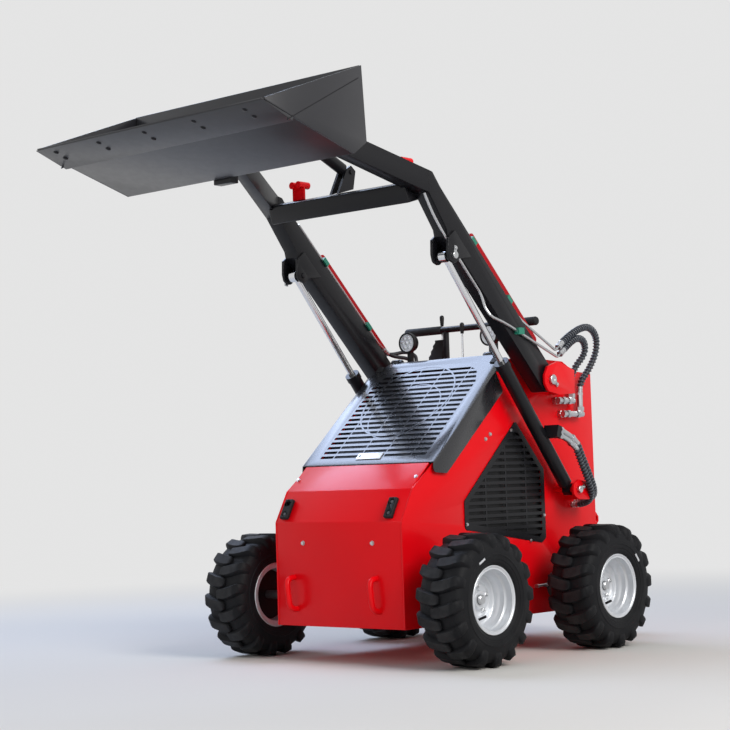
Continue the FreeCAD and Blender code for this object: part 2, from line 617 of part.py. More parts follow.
def make_rod_ears():
    """Weld two ears under each arm for the lift rod's pin, and pin each ear."""
    pieces = []
    for _, side in SIDES:
        for inner in ("arm_middle - arm_width / 2 - ear_wall", "arm_middle + arm_width / 2"):
            body = new_body()
            outline = [("ram_pin_y - 24", "ram_pin_z - 20"), ("ram_pin_y + 6", "ram_pin_z - 31"),
                       ("ram_pin_y + 32", "ram_pin_z - 10"),
                       ("ram_pin_y + 100", "arm_front - ram_pin_y - 52"),
                       ("ram_pin_y + 10", "arm_front - ram_pin_y + 38"),
                       ("ram_pin_y - 30", "arm_front - ram_pin_y + 8"), ("ram_pin_y - 32", "ram_pin_z + 8")]
            side_plate(body, side, inner, "ear_wall", [outline])
            rounded(body, outline[:2] + outline[-1:], "ear_round")
            outward = "arm_width" in inner and inner.endswith("/ 2")
            near = "arm_middle %s eye_width / 2 %s side_gap" % (("+", "+") if outward else ("-", "-"))
            far = "arm_middle %s (arm_width / 2 + ear_wall + 6)" % ("+" if outward else "-")
            start = "%d * (%s)" % (side, near)
            reach = "abs((%s) - (%s))" % (near, far)
            pin = cylinder("ram_pin_radius", reach, (start, "ram_pin_y", "ram_pin_z"),
                           (side if outward else -side, 0, 0))
            pieces.append(fused([body, pin]))
    keep(grouped(pieces), "rod_ears")


def make_goosenecks():
    """Draw each arm in from its elbow to the hitch as a tapering box."""
    necks = []
    for _, side in SIDES:
        body = new_body()
        loft = body.newObject("PartDesign::AdditiveLoft", "Loft")
        sections = []
        for place, middle, width, low, high in (
                ("elbow", "arm_middle", "arm_width", "elbow_low", "elbow_top"),
                ("hitch_y + 46", "hitch_arm", "hitch_arm_width", "hitch_z - hitch_boss - 8",
                 "hitch_z + hitch_boss - 8"),
                ("hitch_y", "hitch_arm", "hitch_arm_width", "hitch_z - hitch_boss", "hitch_z + hitch_boss")):
            inner = "%d * (%s - %s / 2)" % (side, middle, width)
            outer = "%d * (%s + %s / 2)" % (side, middle, width)
            sections.append(new_sketch(body, "XZ_Plane", "-(%s)" % place,
                                       [[(inner, low), (outer, low), (outer, high), (inner, high)]]))
        loft.Profile = sections[0]
        loft.Sections = sections[1:]
        loft.Ruled = True
        start = "%d * hitch_arm - hitch_arm_width / 2" % side
        boss = cylinder("hitch_boss", "hitch_arm_width", (start, "hitch_y", "hitch_z"), (1, 0, 0))
        bore = cylinder("hitch_pin + pin_gap", "hitch_arm_width + 40",
                        (start + " - 20", "hitch_y", "hitch_z"), (1, 0, 0))
        necks.append(cut(fused([body, boss]), bore))
    keep(grouped(necks), "goosenecks")
    return necks


def make_crosstube(necks):
    """Join the arms at their elbows with a square tube, mitred to the goosenecks."""
    tube = document.addObject("Part::Box", "Box")
    tube.setExpression("Length", bound("2 * arm_middle - arm_width"))
    tube.setExpression("Width", bound("cross_side"))
    tube.setExpression("Height", bound("cross_side"))
    turn = FreeCAD.Rotation(Vec(1, 0, 0), value("cross_lean"))
    half = value("cross_side") / 2
    corner = turn.multVec(Vec(0, -half, -half))
    tube.Placement = FreeCAD.Placement(Vec(value("arm_width / 2 - arm_middle"), value("cross_y") + corner.y,
                                           value("cross_z") + corner.z), turn)
    keep(grouped([cut(cut(tube, necks[0]), necks[1])]), "crosstube")


def make_pivot_brackets():
    """Stand an ear outside each arm's foot and each ram's foot, webbed back to the frame."""
    ears = (("pivot", [("pivot_y - 42", "pivot_z + 17"), ("pivot_y - 20", "pivot_z + 50"),
                       ("pivot_y + 46", "pivot_z + 70"),
                       ("pivot_y + 150", "pivot_z + 40"), ("pivot_y + 150", "pivot_z - 50"),
                       ("pivot_y + 46", "pivot_z - 56"),
                       ("pivot_y - 20", "pivot_z - 44"), ("pivot_y - 42", "pivot_z - 17")],
             "pivot_y + 130", "pivot_z - 50", "pivot_z + 40", "pivot_y", "pivot_z", "pin_radius"),
            ("ram_foot", [("ram_base_y - 32", "ram_base_z + 20"), ("ram_base_y", "ram_base_z + 38"),
                          ("ram_base_y + 70", "ram_base_z + 24"),
                          ("ram_base_y + 70", "ram_base_z - 40"), ("ram_base_y", "ram_base_z - 38"),
                          ("ram_base_y - 32", "ram_base_z - 20")],
             "ram_base_y + 50", "ram_base_z - 40", "ram_base_z + 24", "ram_base_y", "ram_base_z",
             "ram_pin_radius"))
    outer = "arm_middle + arm_width / 2 + ear_gap"
    for label, outline, web, low, high, pin_y, pin_z, radius in ears:
        brackets = []
        for _, side in SIDES:
            body = new_body()
            side_plate(body, side, outer, "ear_wall", [outline])
            rounded(body, outline[:1] + outline[-1:], "ear_round")
            side_plate(body, side, "frame_width / 2", outer + " - frame_width / 2",
                       [[(web, low), (web + " + 20", low), (web + " + 20", high), (web, high)]])
            start = "frame_width / 2" if side > 0 else "-frame_width / 2"
            pin = cylinder(radius, outer + " + ear_wall + 8 - frame_width / 2", (start, pin_y, pin_z),
                           (side, 0, 0))
            brackets.append(fused([body, pin]))
        keep(grouped(brackets), label + "_brackets")


def make_ram(label, middle, foot, head, sizes, ports):
    """Build a barrel and a rod with their eyes between two pins; the rod leaves room for its stroke."""
    barrel_radius, barrel_length, rod_radius, eye_radius, eye_width, pin_radius, stroke = sizes
    base = (middle, foot[0], foot[1])
    top = (middle, head[0], head[1])
    span = math.dist([value(part) for part in base], [value(part) for part in top])
    run = [value(b) - value(a) for a, b in zip(base, top)]
    tube = cylinder(barrel_radius, barrel_length, base, run)
    ahead = value(barrel_radius) * 1.2 / span
    tube.Placement.Base = Vec(*[value(a) for a in base]) + Vec(*run) * ahead
    bore = cylinder("%s + 0.5" % rod_radius, barrel_length, base, run)
    bore.Placement.Base = Vec(*[value(a) for a in base]) + Vec(*run) * (ahead + value("ram_end") / span)
    eye = cylinder(eye_radius, eye_width, ("%s - %s / 2" % (middle, eye_width), foot[0], foot[1]), (1, 0, 0))
    neck = cylinder("%s / 2 - 1.5" % eye_width, "%s * 1.5" % barrel_radius, base, run)
    hole = cylinder("%s + pin_gap" % pin_radius, "%s * 2 + 2" % barrel_radius,
                    ("%s - %s - 1" % (middle, barrel_radius), foot[0], foot[1]), (1, 0, 0))
    gland = cylinder("%s + gland_rim" % barrel_radius, "gland_length", base, run)
    collar = ahead + value("%s - gland_length" % barrel_length) / span
    gland.Placement.Base = Vec(*[value(a) for a in base]) + Vec(*run) * collar
    keep(grouped([cut(cut(fused([tube, gland, eye, neck] + ports), bore), hole)]), label + "_barrel")
    length = span * (1 - ahead) - value("%s + ram_end + ram_rest" % stroke)
    rod = cylinder(rod_radius, str(length), top, run)
    rod.Placement.Base = Vec(*[value(a) for a in base]) + Vec(*run) * (1 - length / span)
    eye_top = cylinder(eye_radius, eye_width, ("%s - %s / 2" % (middle, eye_width), head[0], head[1]),
                       (1, 0, 0))
    keep(grouped([fused([rod, eye_top])]), label + "_rod")


def make_rams():
    """Build the two lift rams and the tilt ram."""
    lift = ("barrel_radius", "barrel_length", "rod_radius", "eye_radius", "eye_width", "ram_pin_radius",
            "stroke")
    for name, side in SIDES:
        middle = "arm_middle" if side > 0 else "-arm_middle"
        block = new_body()
        outline = []
        for along, across in (("0", "-port_low"), ("0", "port_high"), ("-port_side", "port_high"),
                              ("-port_side", "-port_low")):
            outline.append(("port_y + (%s) * cos(port_lean) - (%s) * sin(port_lean)" % (along, across),
                            "port_z + (%s) * sin(port_lean) + (%s) * cos(port_lean)" % (along, across)))
        side_plate(block, side, "arm_middle + barrel_radius / 2", "port_reach", [outline])
        make_ram("lift_ram_" + name, middle, ("ram_base_y", "ram_base_z"), ("ram_pin_y", "ram_pin_z"), lift,
                 [block])
    tilt = ("tilt_barrel_radius", "tilt_barrel_length", "tilt_rod_radius", "tilt_eye_radius",
            "tilt_eye_width", "tilt_pin_radius",
            "tilt_stroke")
    make_ram("tilt_ram", "0", ("tilt_base_y", "tilt_base_z"), ("tilt_pin_y", "tilt_pin_z"), tilt, [])


def make_tilt_bracket():
    """Stand two ears on the crosstube for the tilt ram, with their pin."""
    pieces = []
    for inner in ("tilt_eye_width / 2 + side_gap", "-tilt_eye_width / 2 - side_gap - ear_wall"):
        body = new_body()
        outline = [("tilt_base_y - 22", "tilt_base_z + 10"), ("tilt_base_y", "tilt_base_z + 24"),
                   ("tilt_base_y + 24", "tilt_base_z + 6"),
                   ("cross_y + 40", "cross_z + 52"), ("cross_y - 42", "cross_z + 28")]
        pad(body, "YZ_Plane", inner, "ear_wall", [outline])
        pieces.append(body)
    reach = "tilt_eye_width / 2 + side_gap + ear_wall + 5"
    pin = cylinder("tilt_pin_radius", "2 * (%s)" % reach, ("-(%s)" % reach, "tilt_base_y", "tilt_base_z"),
                   (1, 0, 0))
    keep(fused(pieces + [pin]), "tilt_bracket")


def make_hitch():
    """Weld the hitch plate with its pivot ears and the tilt ears."""
    body = new_body()
    plate = [("back_foot", "back_foot_top"), ("back_head", "back_top"), ("back_head + ear_wall", "back_top"),
             ("back_foot + ear_wall", "back_foot_top")]
    pad(body, "YZ_Plane", "-hitch_width / 2", "hitch_width", [plate])
    pivot_ear = [("back_foot + 4", "hitch_z - 70"), ("hitch_y + 16", "hitch_z - 30"),
                 ("hitch_y + 34", "hitch_z"),
                 ("hitch_y + 16", "hitch_z + 30"), ("back_foot - 2", "hitch_z + 70")]
    for side in (1, -1):
        for inner in ("hitch_arm - hitch_arm_width / 2 - 6 - ear_wall",
                      "hitch_arm + hitch_arm_width / 2 + 6"):
            side_plate(body, side, inner, "ear_wall", [pivot_ear])
    tilt_ear = [("back_foot - 2", "tilt_pin_z - 50"), ("tilt_pin_y + 14", "tilt_pin_z - 22"),
                ("tilt_pin_y + 22", "tilt_pin_z + 8"),
                ("tilt_pin_y", "tilt_pin_z + 24"), ("back_foot - 8", "tilt_pin_z + 36")]
    for inner in ("tilt_eye_width / 2 + side_gap", "-tilt_eye_width / 2 - side_gap - ear_wall"):
        pad(body, "YZ_Plane", inner, "ear_wall", [tilt_ear])
    reach = "(hitch_arm_width / 2 + 6 + ear_wall + 6)"
    pins = []
    for side in (1, -1):
        start = "%d * hitch_arm - %s" % (side, reach)
        pins.append(cylinder("hitch_pin", "2 * " + reach, (start, "hitch_y", "hitch_z"), (1, 0, 0)))
    keep(fused([body] + pins), "hitch_plate")


def make_bucket():
    """Fold the bucket's shell and close it with its two sides and its cutting edge."""
    body = new_body()
    shell = [("lip", "lip_top"), ("heel", "heel_low"), ("back_foot", "back_foot_top"),
             ("back_head", "back_top"),
             ("back_head - bucket_wall", "back_top"), ("back_foot - bucket_wall", "back_foot_top + 3"),
             ("heel - 2", "heel_low + bucket_wall"), ("lip", "lip_top + bucket_wall")]
    pad(body, "YZ_Plane", "bucket_wall - bucket_width / 2", "bucket_width - 2 * bucket_wall", [shell])
    keep(body, "bucket_shell")
    sides = []
    for _, side in SIDES:
        body = new_body()
        outline = [("lip + 12", "lip_top + 8"), ("back_head", "back_top"), ("back_foot", "back_foot_top"),
                   ("heel", "heel_low"),
                   ("lip + 12", "lip_top - 2")]
        side_plate(body, side, "bucket_width / 2 - bucket_wall", "bucket_wall", [outline])
        sides.append(body)
    keep(grouped(sides), "bucket_sides")
    body = new_body()
    blade = [("lip", "lip_top"), ("lip + edge_depth", "lip_top - edge_depth * 0.295"),
             ("lip + edge_depth - 4", "lip_top - edge_depth * 0.295 - edge_wall"), ("lip", "lip_top - 2")]
    pad(body, "YZ_Plane", "-bucket_width / 2", "bucket_width", [blade])
    keep(body, "bucket_cutting_edge")


def make_tyre():
    """Block out one tyre at the origin: a faceted carcass and two staggered rings of lugs."""
    carcass = prism(FACETS, "carcass_radius", "tyre_width", ("-tyre_width / 2", "0", "0"), (1, 0, 0))
    bores = [prism(FACETS, "rim_radius", "tyre_width", ("-tyre_width / 2", "0", "0"), (1, 0, 0))]
    for place in ("-tyre_width / 2", "tyre_width / 2 - bead_depth"):
        bores.append(prism(FACETS // 2, "rim_flange", "bead_depth", (place, "0", "0"), (1, 0, 0)))
    body = new_body()
    body.BaseFeature = cut(carcass, fused(bores))
    document.recompute()
    edge = "tyre_width / 2"
    corner = [(edge + " - shoulder_width", "carcass_radius"), (edge, "carcass_radius - shoulder_drop"),
              (edge + " + 9", "carcass_radius - shoulder_drop"), (edge + " + 9", "carcass_radius + 9"),
              (edge + " - shoulder_width", "carcass_radius + 9")]
    corners = [[("%s(%s)" % (sign, across), up) for across, up in corner] for sign in ("", "-")]
    shoulder = body.newObject("PartDesign::Pocket", "Pocket")
    shoulder.Profile = new_sketch(body, "XZ_Plane", "0", corners)
    shoulder.setExpression("Length", bound("2.4 * carcass_radius * tan(180 / %d)" % FACETS))
    shoulder.Midplane = True
    around(body, [shoulder], FACETS)
    reach = value("lug_shoulder * sin(lug_turn) + lug_half")
    top = "sqrt(tyre_radius^2 - (lug_shoulder * sin(lug_turn) + lug_half)^2)"
    lugs = []
    for sign, phase in (("", 0), ("-", 180 / LUGS)):
        outline = [("lug_start", "lug_root"), ("lug_start", top), ("lug_shoulder", top),
                   (edge + " + lug_proud", top + " - lug_slope"),
                   (edge + " + lug_proud", "carcass_radius - shoulder_drop + 8"),
                   (edge + " - shoulder_width", "lug_root")]
        lug = body.newObject("PartDesign::Pad", "Pad")
        lug.Profile = new_sketch(body, "XZ_Plane", "0",
                                 [[("%s(%s)" % (sign, across), up) for across, up in outline]])
        skew = FreeCAD.Rotation(Vec(0, 1, 0), value("lug_turn") * (-1 if sign else 1))
        turn = FreeCAD.Rotation(Vec(1, 0, 0), phase).multiply(skew)
        lug.Profile[0].AttachmentOffset = FreeCAD.Placement(Vec(), turn)
        lug.setExpression("Length", bound("2 * lug_half"))
        lug.Midplane = True
        lugs.append(lug)
    around(body, lugs, LUGS)
    return body, math.degrees(math.asin(reach / value("tyre_radius")))


def around(body, features, count):
    """Repeat features evenly round the body's X axis."""
    document.recompute()
    pattern = body.newObject("PartDesign::PolarPattern", "PolarPattern")
    pattern.Originals = features
    pattern.Axis = ([item for item in body.Origin.OriginFeatures if item.Role == "X_Axis"][0], [""])
    pattern.Angle = 360
    pattern.Occurrences = count
    body.Tip = pattern
    document.recompute()


def make_rim():
    """Press one deep rim at the origin: two flanges, its barrel and the disc on the hub."""
    half = "(tyre_width / 2 - bead_depth)"
    pieces = [prism(FACETS, "rim_radius", "2 * %s" % half, ("-%s" % half, "0", "0"), (1, 0, 0))]
    hollows = []
    for low, high in (("-%s - rim_lip" % half, "-rim_disc / 2"), ("rim_disc / 2", "%s + rim_lip" % half)):
        flange = low if low.startswith("-") else half
        pieces.append(prism(FACETS // 2, "rim_flange", "rim_lip", (flange, "0", "0"), (1, 0, 0)))
        hollows.append(prism(FACETS, "rim_radius - rim_wall", "(%s) - (%s)" % (high, low), (low, "0", "0"),
                             (1, 0, 0)))
    hub = cylinder("axle_radius + axle_gap", "tyre_width", ("-tyre_width / 2", "0", "0"), (1, 0, 0))
    return cut(fused(pieces), fused(hollows + [hub]))


def make_wheels():
    """Stand a tyre and its rim at each corner, and mount its drive motor."""
    tyre, lug_reach = make_tyre()
    rim = make_rim()
    motors = []
    for end, fore in AXLES:
        for name, side in SIDES:
            facing = FreeCAD.Rotation(Vec(0, 0, 1), 0 if side > 0 else 180)
            for label, piece, turn in (("tyre", tyre, lug_reach), ("rim", rim, 0)):
                copy = grouped([piece])
                copy.Placement.Rotation = facing.multiply(FreeCAD.Rotation(Vec(1, 0, 0), turn))
                keep(copy, "%s_%s_%s" % (label, end, name))
                copy.setExpression("Placement.Base.x", bound("%d * wheel_track / 2" % side))
                copy.setExpression("Placement.Base.y", bound("%d * wheelbase / 2 + frame_shift" % fore))
                copy.setExpression("Placement.Base.z", bound("tyre_radius"))
            place = ("%d * frame_width / 2" % side, "%d * wheelbase / 2" % fore, "tyre_radius")
            house = prism(16, "motor_radius", "motor_length", place, (side, 0, 0))
            shaft = cylinder("axle_radius", "(wheel_track - frame_width) / 2 + rim_disc + 10", place,
                             (side, 0, 0))
            motors.append(fused([house, shaft]))
    keep(grouped(motors), "wheel_motors")


def make_platform():
    """Hang the operator's step behind the frame on its hinge."""
    axis_y = "(tail + platform_gap)"
    tread = box(("frame_width - 2 * platform_inset", "platform_length - platform_wall", "platform_wall"),
                ("platform_inset - frame_width / 2", axis_y + " + platform_wall",
                 "platform_hinge_z - platform_wall / 2"))
    tubes = []
    ears = []
    for side in (1, -1):
        start = "%d * step_hinge - 30" % side
        tube = cylinder("platform_wall / 2", "60", (start, axis_y, "platform_hinge_z"), (1, 0, 0))
        tongue = box(("60", "platform_wall + 2", "platform_wall * 0.6"),
                     (start, axis_y, "platform_hinge_z - platform_wall * 0.3"))
        tubes.append(fused([tube, tongue]))
        for inner in ("step_hinge + step_ear", "step_hinge - step_ear - ear_wall"):
            body = new_body()
            side_plate(body, side, inner, "ear_wall",
                       [[("tail", "platform_hinge_z - 16"), (axis_y, "platform_hinge_z - 14"),
                         (axis_y + " + 14", "platform_hinge_z"),
                         (axis_y, "platform_hinge_z + 14"), ("tail", "platform_hinge_z + 18")]])
            ears.append(body)
        pin_start = "%d * step_hinge - step_ear - ear_wall - 4" % side
        ears.append(cylinder("platform_pin", "2 * (step_ear + ear_wall + 4)",
                             (pin_start, axis_y, "platform_hinge_z"), (1, 0, 0)))
    bore = cylinder("platform_pin + pin_gap", "frame_width - 2 * platform_inset",
                    ("platform_inset - frame_width / 2", axis_y, "platform_hinge_z"), (1, 0, 0))
    keep(cut(fused([tread] + tubes), bore), "operator_platform")
    keep(grouped([fused(ears[:3]), fused(ears[3:])]), "platform_hinges")


def make_controls(deck):
    """Stand the lamps, the handlebar and the levers on the console deck."""
    lamps = []
    lamp_x = "(frame_width / 2 - lamp_inset)"
    for side in (1, -1):
        middle = "%d * %s" % (side, lamp_x)
        lamp = cylinder("lamp_radius", "lamp_depth", (middle, "lamp_y - lamp_depth / 2", "lamp_z"), (0, 1, 0))
        foot = box(("20", "16", "lamp_z - deck_top + 7"), (middle + " - 10", "lamp_y + 18", "deck_top - 3"))
        lamps.append(cut(fused([lamp, foot]), deck))
    keep(grouped(lamps), "work_lamps")
    rail = prism(12, "bar_radius", "frame_width + 2 * bar_overhang",
                 ("-bar_overhang - frame_width / 2", "bar_y", "bar_z"), (1, 0, 0))
    posts = []
    for side in (1, -1):
        post = box(("post_side", "post_side", "bar_z - deck_top + 4"),
                   ("%d * post_x - post_side / 2" % side, "bar_y - post_side / 2", "deck_top - 4"))
        posts.append(post)
    keep(grouped([cut(fused([rail] + posts), deck)]), "hand_rail")
    boot = box(("boot_length", "boot_width", "boot_top - deck_top + 4"),
               ("boot_low_x", "bar_y - 20", "deck_top - 4"))
    tilt_lever = fused([boot, prism(8, "stem_radius", "lever_top - boot_top - knob_length + 1",
                                    ("lever_x", "lever_y", "boot_top - 1"), (0, 0, 1)),
                        prism(8, "knob_radius", "knob_length",
                              ("lever_x", "lever_y", "lever_top - knob_length"), (0, 0, 1))])
    drive_lever = fused([prism(8, "stem_radius", "drive_lever_top - deck_top - knob_length + 4",
                               ("0", "drive_lever_y", "deck_top - 3"), (0, 0, 1)),
                         prism(8, "knob_radius", "knob_length",
                               ("0", "drive_lever_y", "drive_lever_top - knob_length"), (0, 0, 1))])
    keep(grouped([cut(tilt_lever, deck), cut(drive_lever, deck)]), "control_levers")


def make_tie_downs():
    """Weld a lug with an eye behind each rear corner of the frame."""
    lugs = []
    for _, side in SIDES:
        body = new_body()
        outline = [("tail", "lug_z - 34"), ("tail + 26", "lug_z - 26"), ("tail + 42", "lug_z - 8"),
                   ("tail + 42", "lug_z + 10"),
                   ("tail + 26", "lug_z + 26"), ("tail", "lug_z + 34")]
        side_plate(body, side, "frame_width / 2 - lug_inset", "lug_wall", [outline])
        face = "frame_width / 2 - lug_inset + lug_wall" if side > 0 else "lug_inset - frame_width / 2"
        drill(body, face, "lug_wall", [("tail + 22", "lug_z", "lug_eye")])
        lugs.append(body)
    keep(grouped(lugs), "tie_down_lugs")


def make_fittings():
    """Fix the stop pads and the grab handles on the nose."""
    slope = value("(brow_top - nose_top) / (brow - nose)")
    turn = FreeCAD.Rotation(Vec(1, 0, 0), math.degrees(math.atan(slope)) - 90)
    pads = []
    for side in (1, -1):
        piece = document.addObject("Part::Box", "Box")
        for key, text in zip(("Length", "Width", "Height"), ("pad_width", "pad_depth", "pad_height")):
            piece.setExpression(key, bound(text))
        middle = Vec(value("%d * (frame_width / 2 - pad_inset) - pad_width / 2" % side),
                     value("(nose + brow) / 2"),
                     value("(nose_top + brow_top) / 2"))
        seat = turn.multVec(Vec(0, -value("pad_depth"), -value("pad_height") / 2))
        piece.Placement = FreeCAD.Placement(middle + seat, turn)
        pads.append(piece)
    keep(grouped(pads), "stop_pads")
    handles = []
    for side in (1, -1):
        across = "%d * (frame_width / 2 - handle_inset)" % side
        pieces = [prism(10, "handle_radius", "handle_height",
                        (across, "nose - handle_reach", "handle_z - handle_height / 2"), (0, 0, 1))]
        for end in (1, -1):
            level = "handle_z + %d * (handle_height / 2 - handle_radius)" % end
            pieces.append(prism(10, "handle_radius", "handle_reach", (across, "nose - handle_reach", level),
                                (0, 1, 0)))
        handles.append(fused(pieces))
    keep(grouped(handles), "grab_handles")


def make_hoses():
    """Hang two hose loops beside the left arm's foot, two inside the right's, and two on each lift ram."""
    left = "arm_middle + arm_width / 2 + tube_radius + 4"
    back = "(arm_back + 1.42 * tube_radius)"
    pipe_x = "336"
    # label, radius, then x, y, z from the arm down to the frame
    loops = (("loop_hose_rear", "hose_radius", ((left, "312.4", "1132.3"), (left, "351", "1161"),
                                                ("405", "461", "1210"), ("395", "548", "1223"),
                                                ("382", "615", "1190"), ("368", "631", "1125"),
                                                ("354", "597", "1058"), (pipe_x, "551", "1003"),
                                                (pipe_x, "551", "959"))),
             ("loop_hose_front", "hose_radius", ((left, "322.4", "1106.6"), (left, "397", "1159.2"),
                                                 ("402", "466", "1176"),
                                                 ("390", "522", "1161"), ("374", "542", "1113"),
                                                 ("350", "505", "1065"), (pipe_x, "494", "1015"),
                                                 (pipe_x, "494", "975"))),
             ("inner_hose_front", "inner_hose_radius", (("26.5 - arm_middle", "173.4", back + " - 162.3"),
                                                        ("26.5 - arm_middle", "195.4", back + " - 177"),
                                                        ("-332", "224", "1144"), ("-300", "255", "1138"),
                                                        ("-280", "265", "1128"),
                                                        ("-280", "265", "deck_top + 1.5"))),
             ("inner_hose_rear", "inner_hose_radius", (("10 - arm_middle", "173.4", back + " - 162.3"),
                                                       ("10 - arm_middle", "195.4", back + " - 177"),
                                                       ("-352", "236", "1154"), ("-318", "278", "1166"),
                                                       ("-284", "298", "1150"), ("-280", "300", "1130"),
                                                       ("-280", "300", "deck_top + 0.5"))))
    for label, radius, points in loops:
        keep(swept(label, 6, radius, points), label)
    # y and z where a loop ends, the height of the pipe under it, and the pipe's two ends
    fittings = []
    for end_y, end_z, level, near, far in (("551", "959", "884", "434", "566"),
                                           ("494", "975", "935", "405", "508")):
        post = rod_between(8, "hose_radius + 1", (pipe_x, end_y, end_z), (pipe_x, end_y, level))
        run = rod_between(8, "hose_radius + 1", (pipe_x, near, level), (pipe_x, far, level))
        boss = rod_between(8, "hose_radius + 3", ("frame_width / 2", near + " + 14", level),
                           (pipe_x + " + 2", near + " + 14", level))
        fittings.append(fused([post, run, boss]))
    keep(grouped(fittings), "hose_fittings")
    beside = "440"
    # x, y, z from the port block on the barrel to the frame's side
    ram_routes = (("front", "0", ((beside, "388", "703"), (beside, "436", "626"), ("430", "475", "578"),
                                  ("400", "500", "545"),
                                  ("350", "510", "532"), ("frame_width / 2", "510", "532"))),
                  ("rear", "port_pitch", ((beside, "406", "713"), (beside, "453", "637"),
                                          ("430", "491", "590"), ("404", "520", "560"),
                                          ("352", "532", "546"), ("frame_width / 2", "532", "546"))))
    for name, side in SIDES:
        for label, across, route in ram_routes:
            ends = []
            for along in ("hose_gap", "100 + %s / 4" % across):
                ends.append((beside, "port_y + (%s) * cos(port_lean) - %s * sin(port_lean)" % (along, across),
                             "port_z + (%s) * sin(port_lean) + %s * cos(port_lean)" % (along, across)))
            points = [("%d * (%s)" % (side, out), y, z) for out, y, z in ends + list(route)]
            keep(swept("ram_hose_%s_%s" % (name, label), 6, "ram_hose_radius", points),
                 "ram_hose_%s_%s" % (name, label))


def main():
    """Build every sub-part, test each one and write its file."""
    for make in (make_side_plates, make_side_grilles, make_nose_cover, make_belly_and_tail, make_engine,
                 make_hood,
                 make_lift_arms, make_lock_bars, make_arm_tubes, make_couplers, make_rod_ears,
                 make_pivot_brackets, make_rams,
                 make_tilt_bracket, make_hitch, make_bucket, make_wheels, make_platform, make_tie_downs,
                 make_fittings, make_hoses):
        make()
    make_controls(make_tower_top())
    make_crosstube(make_goosenecks())
    document.recompute()
    for item in document.Objects:
        if {"Invalid", "Error"} & set(item.State):
            raise RuntimeError("%s failed to build: %s" % (item.Label, item.State))
    os.makedirs("parts", exist_ok=True)
    for thing in SUB_PARTS:
        shape = thing.Shape
        if shape.isNull() or not shape.isValid():
            raise RuntimeError("%s has no sound shape" % thing.Label)
        shape.exportStep(os.path.join("parts", thing.Label + ".step"))
        print("%-26s solids %d volume %.0f" % (thing.Label, len(shape.Solids), shape.Volume))


main()
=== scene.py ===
"""Dress the compact loader: finishes, small parts, hoses, studio and camera, in metres."""
import json
import logging
import math
from dataclasses import dataclass, field
from enum import Enum

import bmesh
import bpy
from mathutils import Matrix, Vector


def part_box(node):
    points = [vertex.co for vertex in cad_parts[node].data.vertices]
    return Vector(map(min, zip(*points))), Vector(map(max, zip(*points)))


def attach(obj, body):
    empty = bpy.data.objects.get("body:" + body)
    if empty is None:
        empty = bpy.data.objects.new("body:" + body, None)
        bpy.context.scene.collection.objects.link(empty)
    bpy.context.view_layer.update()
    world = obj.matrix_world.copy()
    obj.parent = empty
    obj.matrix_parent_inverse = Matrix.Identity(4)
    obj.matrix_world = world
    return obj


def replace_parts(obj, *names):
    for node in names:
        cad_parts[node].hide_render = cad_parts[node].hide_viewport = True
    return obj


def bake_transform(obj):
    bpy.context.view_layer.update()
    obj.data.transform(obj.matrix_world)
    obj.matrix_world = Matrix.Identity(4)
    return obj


logging.basicConfig(level=logging.INFO, format="%(name)s: %(message)s")
LOG = logging.getLogger("loader")
Colour = tuple[float, float, float]
Point = tuple[float, float, float]

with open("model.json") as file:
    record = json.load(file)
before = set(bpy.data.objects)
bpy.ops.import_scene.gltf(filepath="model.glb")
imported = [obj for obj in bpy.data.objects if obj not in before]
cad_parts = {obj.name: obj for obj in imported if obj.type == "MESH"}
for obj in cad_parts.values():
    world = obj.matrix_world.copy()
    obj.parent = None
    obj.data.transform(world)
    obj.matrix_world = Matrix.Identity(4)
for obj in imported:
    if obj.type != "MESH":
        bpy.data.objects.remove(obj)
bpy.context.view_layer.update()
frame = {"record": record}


def centre(node: str) -> Vector:
    """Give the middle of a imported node's box."""
    low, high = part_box(node)
    return (low + high) / 2


AXLE_MIDDLE = (centre("tyre_front_left").y + centre("tyre_rear_left").y) / 2
AXLE_REACH = (centre("tyre_rear_left").y - centre("tyre_front_left").y) / 2
AXLE_HEIGHT = centre("tyre_rear_left").z


class Slot(Enum):
    """The record's material slots."""

    RED = "red_paint"
    BLACK = "black_paint"
    MACHINED = "machined_steel"
    CHROME = "chrome_rod"
    ZINC = "rim_zinc"
    TYRE = "tyre_rubber"
    SOFT = "soft_rubber"
    IRON = "engine_iron"
    PLASTIC = "tank_plastic"
    EDGE = "edge_steel"
    HOSE = "hose_rubber"
    CLAMP = "clamp_plastic"


class Grain(Enum):
    """How a finish breaks up close to."""

    ORANGE_PEEL = "orange peel"
    SPANGLE = "spangle"
    MOULDED = "moulded"
    BRUSHED = "brushed"


